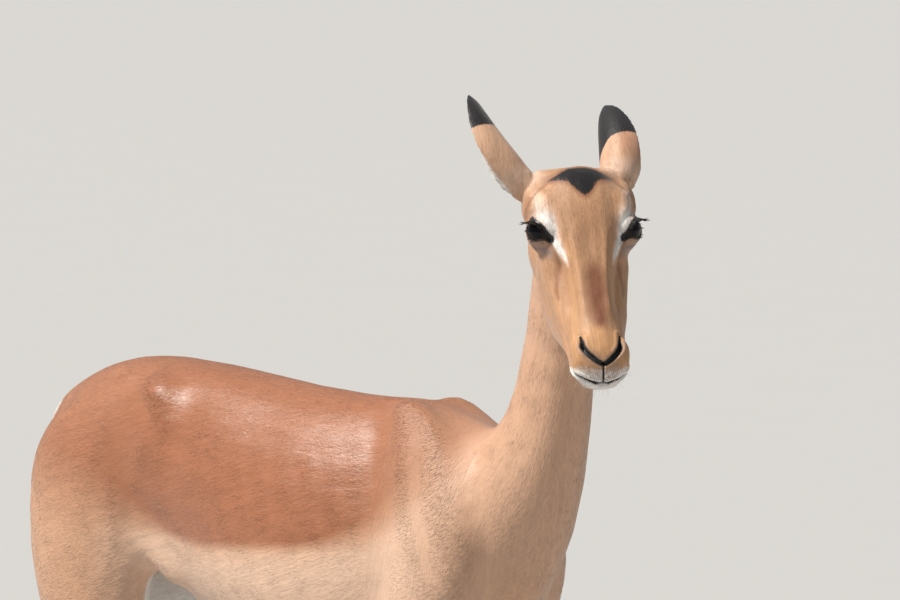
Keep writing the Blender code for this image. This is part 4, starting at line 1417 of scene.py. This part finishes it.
def face_coat(settings):
    """The head and ears in two pieces, with the smallest tufts."""
    land = ground()
    rng = np.random.default_rng(SEEDS["face"])
    share = np.clip(land.mean("face") * 1.4, 0, 1)
    roots = land.roots(tufts_wanted(settings.face_density, share), rng)
    rest = roots["rest"]
    roots = chosen(roots, clear_of_eyes(rest) & ~on_bare(rest) & off_rims(rest))
    ear = roots["ear"]
    muzzle = ramp(to_head(roots["at"])[:, 0], 0.12, 0.20) * (1 - ear)
    length = settings.face_length * (1 - 0.45 * muzzle - 0.50 * ear)
    width = settings.face_width * (1 - 0.25 * muzzle)
    lift = 0.00012 * (1 - 0.4 * muzzle - 0.5 * ear)
    for name, here in (("coat_face", ear < 0.5), ("coat_ears", ear >= 0.5)):
        short_tufts(name, chosen(roots, here), length[here], width[here], lift[here], rng)


def off_rims(rest):
    """False on the thin rims of the ears, where a tuft would stand off."""
    keep = np.ones(len(rest), bool)
    for side in SIDES:
        u, v, _, _, _, _ = ear_place(rest, side)
        keep &= ~near_ear(rest, side) | ((np.abs(v) < 0.65) & (u < 0.90))
    return keep


def on_bare(rest):
    """True on bare skin: nostrils, the cleft of the lip and the line of the mouth."""
    head = to_head(rest)
    bare = path_distance(head, STATE["paths"]["cleft"])[0] < 0.0013
    for sign in SIDES.values():
        nostril, mouth = STATE["paths"][sign]
        gap, along = path_distance(head, nostril)
        bare |= gap < along_path(along, NOSTRIL, NOSTRIL_WIDTHS) + 0.0012
        gap, along = path_distance(head, mouth)
        bare |= gap < along_path(along, MOUTH, MOUTH_WIDTHS) * 0.8
    return bare


def random_roots(share, keep, rng):
    """Roots where a rule allows them; share is per square metre."""
    land = ground()
    return land.roots(np.full(len(land.area), share) * keep(land.middle), rng)


def hanging(rng, count, back, aside):
    """Directions down and back, spread at random."""
    return unit(np.stack([back, rng.normal(0, aside, count), np.full(count, -1.0)], axis=1))


def tail_hair(rng):
    low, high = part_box("tail")

    def on_tail(points):
        return ramp(points[:, 0], high.x + 0.002, high.x - 0.004) * (points[:, 2] < 0.79)

    roots = random_roots(LOCKS_PER_M2["tail"], on_tail, rng)
    z = roots["at"][:, 2]
    reach = (0.012 + 0.014 * ramp(z, 0.70, 0.58)) * varied(rng, len(z), 0.15)
    reach = np.minimum(reach, np.maximum(z - (low.z - 0.002), 0.004))[:, None]
    down = hanging(rng, len(z), rng.normal(0, 0.06, len(z)), 0.08)
    spread = roots["normal"] * 0.10
    mid = (down * 0.5 + spread) * reach
    tip = (down + spread * 0.9) * reach
    long_locks("tail_hair", roots, mid, tip, LOCK_WIDTH["tail"], rng)


def shank_brushes(rng):
    def on_shank(points):
        return ramp(points[:, 0], -0.18, -0.22) * band(points[:, 2], 0.088, 0.100, 0.140, 0.155)

    roots = random_roots(LOCKS_PER_M2["shank"], on_shank, rng)
    roots = chosen(roots, roots["normal"][:, 0] < -0.35)
    painted(roots, black=1.0)
    count = len(roots["at"])
    down = hanging(rng, count, np.full(count, -0.28), 0.10)
    down = down * SHANK_LENGTH * varied(rng, count, 0.15)[:, None]
    mid = down * 0.5 + roots["normal"] * 0.0035
    tip = down + roots["normal"] * 0.0030
    long_locks("shank_brushes", roots, mid, tip, LOCK_WIDTH["shank"], rng)


def ear_fringe(settings, rng):
    """Pale hairs along the outer rim of an ear and inside both."""
    land = ground()
    middle = land.middle
    total = np.zeros(len(middle))
    for side in SIDES:
        u, v, w, _, _, _ = ear_place(middle, side)
        rim = ramp(v, 0.84, 0.94) * band(u, 0.08, 0.14, 0.40, 0.50) * (side == "right")
        inside = land.mean("inner") * (np.abs(v) < 0.7) * ramp(u, 0.80, 0.6) * ramp(w, 0.002, -0.001) * 0.30
        total = np.maximum(total, np.maximum(rim, inside) * near_ear(middle, side))
    roots = land.roots(total * settings.fringe_density * 1e6, rng)
    count = len(roots["at"])
    drift = np.zeros((count, 3))
    for side in SIDES:
        here = near_ear(roots["at"], side)
        _, v, _, run, face, away = ear_place(roots["at"], side)
        rim = v > 0.80
        way = unit(run * 0.85 + away * 0.35 + face * 0.15 + rng.normal(0, 0.12, (count, 3)))
        inside_way = unit(run * 0.9 + face * 0.25 + rng.normal(0, 0.15, (count, 3)))
        drift = np.where(here[:, None], np.where(rim[:, None], way, inside_way), drift)
        roots["normal"] = np.where((here & rim)[:, None], away, roots["normal"])
    drift = drift * FRINGE_LENGTH * varied(rng, count, 0.25, 0.4, 1.6)[:, None]
    mid = drift * 0.5 + roots["normal"] * 0.0006
    painted(roots, white=1.0, face=1.0, ear=1.0)
    long_locks("ear_fringe", roots, mid, drift, LOCK_WIDTH["ear"], rng, blend=0.9)


def long_hair(settings):
    """The brush of the tail, the black brushes over the hind hooves and the hairs of the ears."""
    rng = np.random.default_rng(SEEDS["long"])
    tail_hair(rng)
    shank_brushes(rng)
    ear_fringe(settings, rng)


LASHES = 90
UPPER_LASHES = 79


def on_ball(sign, nose, up, radius):
    """Places over the eyeball, in the head's frame."""
    out = np.sqrt(np.maximum(EYE_RADIUS**2 - up**2 - nose**2, 1e-6))
    return eye_middle(sign) + unit(np.stack([out, nose, up], axis=1) @ gaze_frame(sign)) * radius


def lashes():
    """Upper and lower lashes as curved black spines, longest towards the temple."""
    rng = np.random.default_rng(SEEDS["lashes"])
    material = lash_material()
    upper = np.arange(LASHES) < UPPER_LASHES
    for side, sign in SIDES.items():
        rows = gaze_frame(sign)
        nose = np.where(upper, rng.uniform(-0.0160, 0.0085, LASHES), rng.uniform(-0.0145, 0.0030, LASHES))
        up = np.where(upper, read_off(nose, UPPER_LID) + 0.0006, read_off(nose, LOWER_LID) - 0.0005)
        place = on_ball(sign, nose, up, EYE_RADIUS + LID_EDGE + 0.0002)
        length = np.where(upper, 0.0045 + 0.0085 * ramp(-nose, -0.006, 0.014), 0.0020)
        length = (length * varied(rng, LASHES, 0.12))[:, None]
        way = rows[0] * 0.45 + (0.30, 0.75 * sign, 0.0) + rows[2] * np.where(upper, 0.05, -0.45)[:, None]
        way = unit(way + rng.normal(0, 0.06, (LASHES, 3)))
        droop = rows[2] * np.where(upper, -0.0016, 0.0004)[:, None]
        roots = {"at": from_head(place), "lie": np.tile(rows[1] @ TO_WORLD, (LASHES, 1))}
        roots["normal"] = unit(np.cross(way @ TO_WORLD, rows[1] @ TO_WORLD))
        roots["uv"] = 0.5 + rng.uniform(-0.4, 0.4, (LASHES, 2))
        painted(roots, black=1.0)
        mid = (way * length * 0.55 + droop * 0.9) @ TO_WORLD
        tip = (way * length - droop * 0.4) @ TO_WORLD
        long_locks(f"lashes_{side}", roots, mid, tip, LOCK_WIDTH["lashes"], rng, material, 0.2)


def whiskers():
    """Thin pale whiskers on the lips and chin."""
    rng = np.random.default_rng(SEEDS["whiskers"])

    def on_lips(points):
        s, _, t = to_head(points).T
        lip = ramp(s, 0.205, 0.222) * ramp(t, -0.016, -0.024) * (t > -0.078)
        return lip * (points[:, 2] > 0.83) * (points[:, 2] < 0.93) * (points[:, 0] > 0.38)

    roots = random_roots(LOCKS_PER_M2["whiskers"], on_lips, rng)
    roots = chosen(roots, ~on_bare(roots["rest"]))
    count = len(roots["at"])
    way = roots["normal"] * 0.8 - TO_WORLD[2] * 0.35 + TO_WORLD[0] * 0.10
    way = unit(way + rng.normal(0, 0.15, (count, 3)))
    way = way * WHISKER_LENGTH * varied(rng, count, 0.35, 0.3, 1.6)[:, None]
    painted(roots, face=1.0, white=0.9)
    long_locks("whiskers", roots, way * 0.55, way + WHISKER_SAG, LOCK_WIDTH["whiskers"], rng)


# ---------------------------------------------------------------- eyes and claws


def eyeball(side):
    """A wet ball with a slightly raised front, its material laid out from where it looks."""
    spin = (gaze_frame(SIDES[side]) @ TO_WORLD)[[1, 2, 0]]
    bm = bmesh.new()
    bmesh.ops.create_uvsphere(bm, u_segments=64, v_segments=40, radius=EYE_RADIUS)
    mesh = as_mesh(bm, f"eyeball_{side}")
    points = coordinates(mesh)
    way = unit(points)
    bulge = 0.0006 * ramp(way[:, 2], 0.62, 0.95)
    set_coordinates(mesh, (points + way * bulge[:, None]) @ spin + np.array(EYES[side]))
    if np.linalg.det(spin) < 0:
        mesh.flip_normals()
    for name, column in zip(("level", "upright", "gaze"), way.T):
        set_attribute(mesh, name, column)
    mesh.shade_smooth()
    piece = linked(mesh, f"eyeball_{side}")
    mesh.materials.append(STATE.setdefault("eye", eye_material()))
    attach(piece, "root")
    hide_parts(f"eye_{side}")


def claw(node):
    """A claw rounded from its CAD solid, with its sole kept flat."""
    bm = solid_copy(node)
    bmesh.ops.dissolve_limit(bm, angle_limit=math.radians(1.0), verts=bm.verts, edges=bm.edges)
    name = f"{node}_claw"
    crease = {"width": 0.0011, "segments": 2, "limit_method": "ANGLE", "angle_limit": math.radians(40)}
    mesh = rounded(with_modifier(as_mesh(bm, name), name, "BEVEL", **crease), 2, name)
    points = coordinates(mesh)
    points[:, 2] = np.where(points[:, 2] < 0.0006, 0.0, points[:, 2])
    set_coordinates(mesh, points)
    mesh.shade_smooth()
    piece = linked(mesh, name)
    mesh.materials.append(STATE.setdefault("horn", horn_material()))
    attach(piece, "root")
    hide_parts(node)


# ---------------------------------------------------------------- stage

CAMERA_TURN = math.radians(43)
CAMERA_DIP = math.radians(3.36)
CAMERA_HEIGHT = 1.301
CAMERA_ASIDE = 0.1139
CAMERA_BACK = 6.527
CAMERA_LENS = 240
SENSOR_WIDTH = 36
KEY_FROM = (-2.8, 0.6, 4.1)  # right of the camera, towards it, up
FLOOR_RADIUS = 400


def build_stage(settings):
    scene = bpy.context.scene
    ahead = Vector((-math.sin(CAMERA_TURN), math.cos(CAMERA_TURN), 0))
    right = Vector((math.cos(CAMERA_TURN), math.sin(CAMERA_TURN), 0))
    up = Vector((0, 0, 1))
    data = bpy.data.cameras.new("camera")
    data.lens = CAMERA_LENS
    data.sensor_width = SENSOR_WIDTH
    data.clip_end = 2 * FLOOR_RADIUS
    camera = bpy.data.objects.new("camera", data)
    camera.location = right * CAMERA_ASIDE - ahead * CAMERA_BACK + up * CAMERA_HEIGHT
    camera.rotation_euler = (math.pi / 2 - CAMERA_DIP, 0, CAMERA_TURN)
    scene.collection.objects.link(camera)
    scene.camera = camera
    lamp = bpy.data.lights.new("key", "SUN")
    lamp.energy = settings.key_strength
    lamp.angle = math.radians(7)
    lamp.color = (1.0, 0.96, 0.90)
    key = bpy.data.objects.new("key", lamp)
    key.location = right * KEY_FROM[0] - ahead * KEY_FROM[1] + up * KEY_FROM[2]
    key.rotation_euler = (-key.location).to_track_quat("-Z", "Y").to_euler()
    scene.collection.objects.link(key)
    world = bpy.data.worlds.new("studio")
    world.use_nodes = True
    scene.world = world
    background = world.node_tree.nodes["Background"]
    background.inputs[0].default_value = (0.95, 0.97, 1.0, 1)
    background.inputs[1].default_value = settings.world_strength
    bm = bmesh.new()
    bmesh.ops.create_circle(bm, cap_ends=True, segments=96, radius=FLOOR_RADIUS)
    floor = linked(as_mesh(bm, "floor"), "floor")
    floor.data.materials.append(floor_material())
    scene.view_settings.view_transform = "Standard"


# ---------------------------------------------------------------- the add-on


def colour(name, about, default):
    kind = {"subtype": "COLOR", "size": 3, "min": 0, "max": 1}
    return FloatVectorProperty(name=name, description=about, default=default, **kind)


def metres(name, about, default):
    return FloatProperty(name=name, description=about, default=default, min=0, precision=5, unit="LENGTH")


def amount(name, about, default):
    return FloatProperty(name=name, description=about, default=default, min=0)


class EweColours(bpy.types.PropertyGroup):
    """Colours of the coat, linear."""

    saddle: colour("Saddle", "Red-brown of the back", (0.360, 0.142, 0.072))
    fawn: colour("Fawn", "Neck, shoulder and legs", (0.600, 0.345, 0.215))
    cream: colour("Cream", "Lower flank and base of the ears", (0.770, 0.530, 0.390))
    face: colour("Face", "Cheeks and forehead", (0.510, 0.280, 0.155))
    gold: colour("Gold", "Top of the nose", (0.560, 0.300, 0.140))
    rust: colour("Rust", "Bridge of the nose", (0.215, 0.080, 0.040))
    grey: colour("Grey", "Below the eye and at the lips", (0.300, 0.215, 0.190))
    white: colour("White", "Brows, lips, throat, belly and rump", (0.800, 0.760, 0.720))
    black: colour("Black", "Forehead patch, ear tips, lids and stripes", (0.011, 0.010, 0.011))


class EweCoat(bpy.types.PropertyGroup):
    """Sizes of the tufts."""

    body_density: amount("Body Density", "Tufts on a square millimetre", 0.20)
    body_length: metres("Body Length", "Length of a tuft", 0.0070)
    body_width: metres("Body Width", "Width of a tuft", 0.00075)
    face_density: amount("Face Density", "Tufts on a square millimetre", 0.42)
    face_length: metres("Face Length", "Length of a tuft", 0.0040)
    face_width: metres("Face Width", "Width of a tuft", 0.00045)
    fringe_density: amount("Fringe Density", "Hairs on a square millimetre", 1.3)


class EweStage(bpy.types.PropertyGroup):
    """Lights."""

    key_strength: amount("Key Strength", "Strength of the main light", 5.0)
    world_strength: amount("World Strength", "Brightness of the surroundings", 0.26)


class EWE_OT_skin(bpy.types.Operator):
    """Build the one skin of body, head and ears with its markings"""

    bl_idname = "ewe.skin"
    bl_label = "Build Skin"

    def execute(self, context):
        build_skin()
        return {"FINISHED"}


class EWE_OT_eyes(bpy.types.Operator):
    """Build both eyeballs"""

    bl_idname = "ewe.eyes"
    bl_label = "Build Eyes"

    def execute(self, context):
        for side in SIDES:
            eyeball(side)
        return {"FINISHED"}


class EWE_OT_claws(bpy.types.Operator):
    """Build the eight claws"""

    bl_idname = "ewe.claws"
    bl_label = "Build Claws"

    def execute(self, context):
        for node in CLAW_NODES:
            claw(node)
        return {"FINISHED"}


class EWE_OT_coat(bpy.types.Operator):
    """Grow the short coat of body, face and ears"""

    bl_idname = "ewe.coat"
    bl_label = "Grow Coat"

    def execute(self, context):
        body_coat(context.scene.ewe_coat)
        face_coat(context.scene.ewe_coat)
        return {"FINISHED"}


class EWE_OT_long_hair(bpy.types.Operator):
    """Grow the tail, the shank brushes and the fringes of the ears"""

    bl_idname = "ewe.long_hair"
    bl_label = "Grow Long Hair"

    def execute(self, context):
        long_hair(context.scene.ewe_coat)
        return {"FINISHED"}


class EWE_OT_lashes(bpy.types.Operator):
    """Set the lashes and whiskers"""

    bl_idname = "ewe.lashes"
    bl_label = "Set Lashes"

    def execute(self, context):
        lashes()
        whiskers()
        return {"FINISHED"}


class EWE_OT_stage(bpy.types.Operator):
    """Set the floor, lights and camera"""

    bl_idname = "ewe.stage"
    bl_label = "Set Stage"

    def execute(self, context):
        build_stage(context.scene.ewe_stage)
        return {"FINISHED"}


OPERATORS = (
    EWE_OT_skin, EWE_OT_eyes, EWE_OT_claws, EWE_OT_coat, EWE_OT_long_hair, EWE_OT_lashes, EWE_OT_stage,
)
GROUPS = {"ewe_colours": EweColours, "ewe_coat": EweCoat, "ewe_stage": EweStage}


class EWE_PT_panel(bpy.types.Panel):
    """The ewe's pieces"""

    bl_label = "Impala Ewe"
    bl_idname = "EWE_PT_panel"
    bl_space_type = "VIEW_3D"
    bl_region_type = "UI"
    bl_category = "Ewe"

    def draw(self, context):
        for group, kind in GROUPS.items():
            box = self.layout.box()
            for name in kind.__annotations__:
                box.prop(getattr(context.scene, group), name)
        for operator in OPERATORS:
            self.layout.operator(operator.bl_idname)


def register():
    for group in GROUPS.values():
        bpy.utils.register_class(group)
    for name, group in GROUPS.items():
        setattr(bpy.types.Scene, name, PointerProperty(type=group))
    for kind in (*OPERATORS, EWE_PT_panel):
        bpy.utils.register_class(kind)


def unregister():
    for kind in (EWE_PT_panel, *reversed(OPERATORS)):
        bpy.utils.unregister_class(kind)
    for name in GROUPS:
        delattr(bpy.types.Scene, name)
    for group in GROUPS.values():
        bpy.utils.unregister_class(group)


def main():
    register()
    for operator in OPERATORS:
        getattr(bpy.ops.ewe, operator.bl_idname.split(".")[1])()


if __name__ == "__main__":
    main()
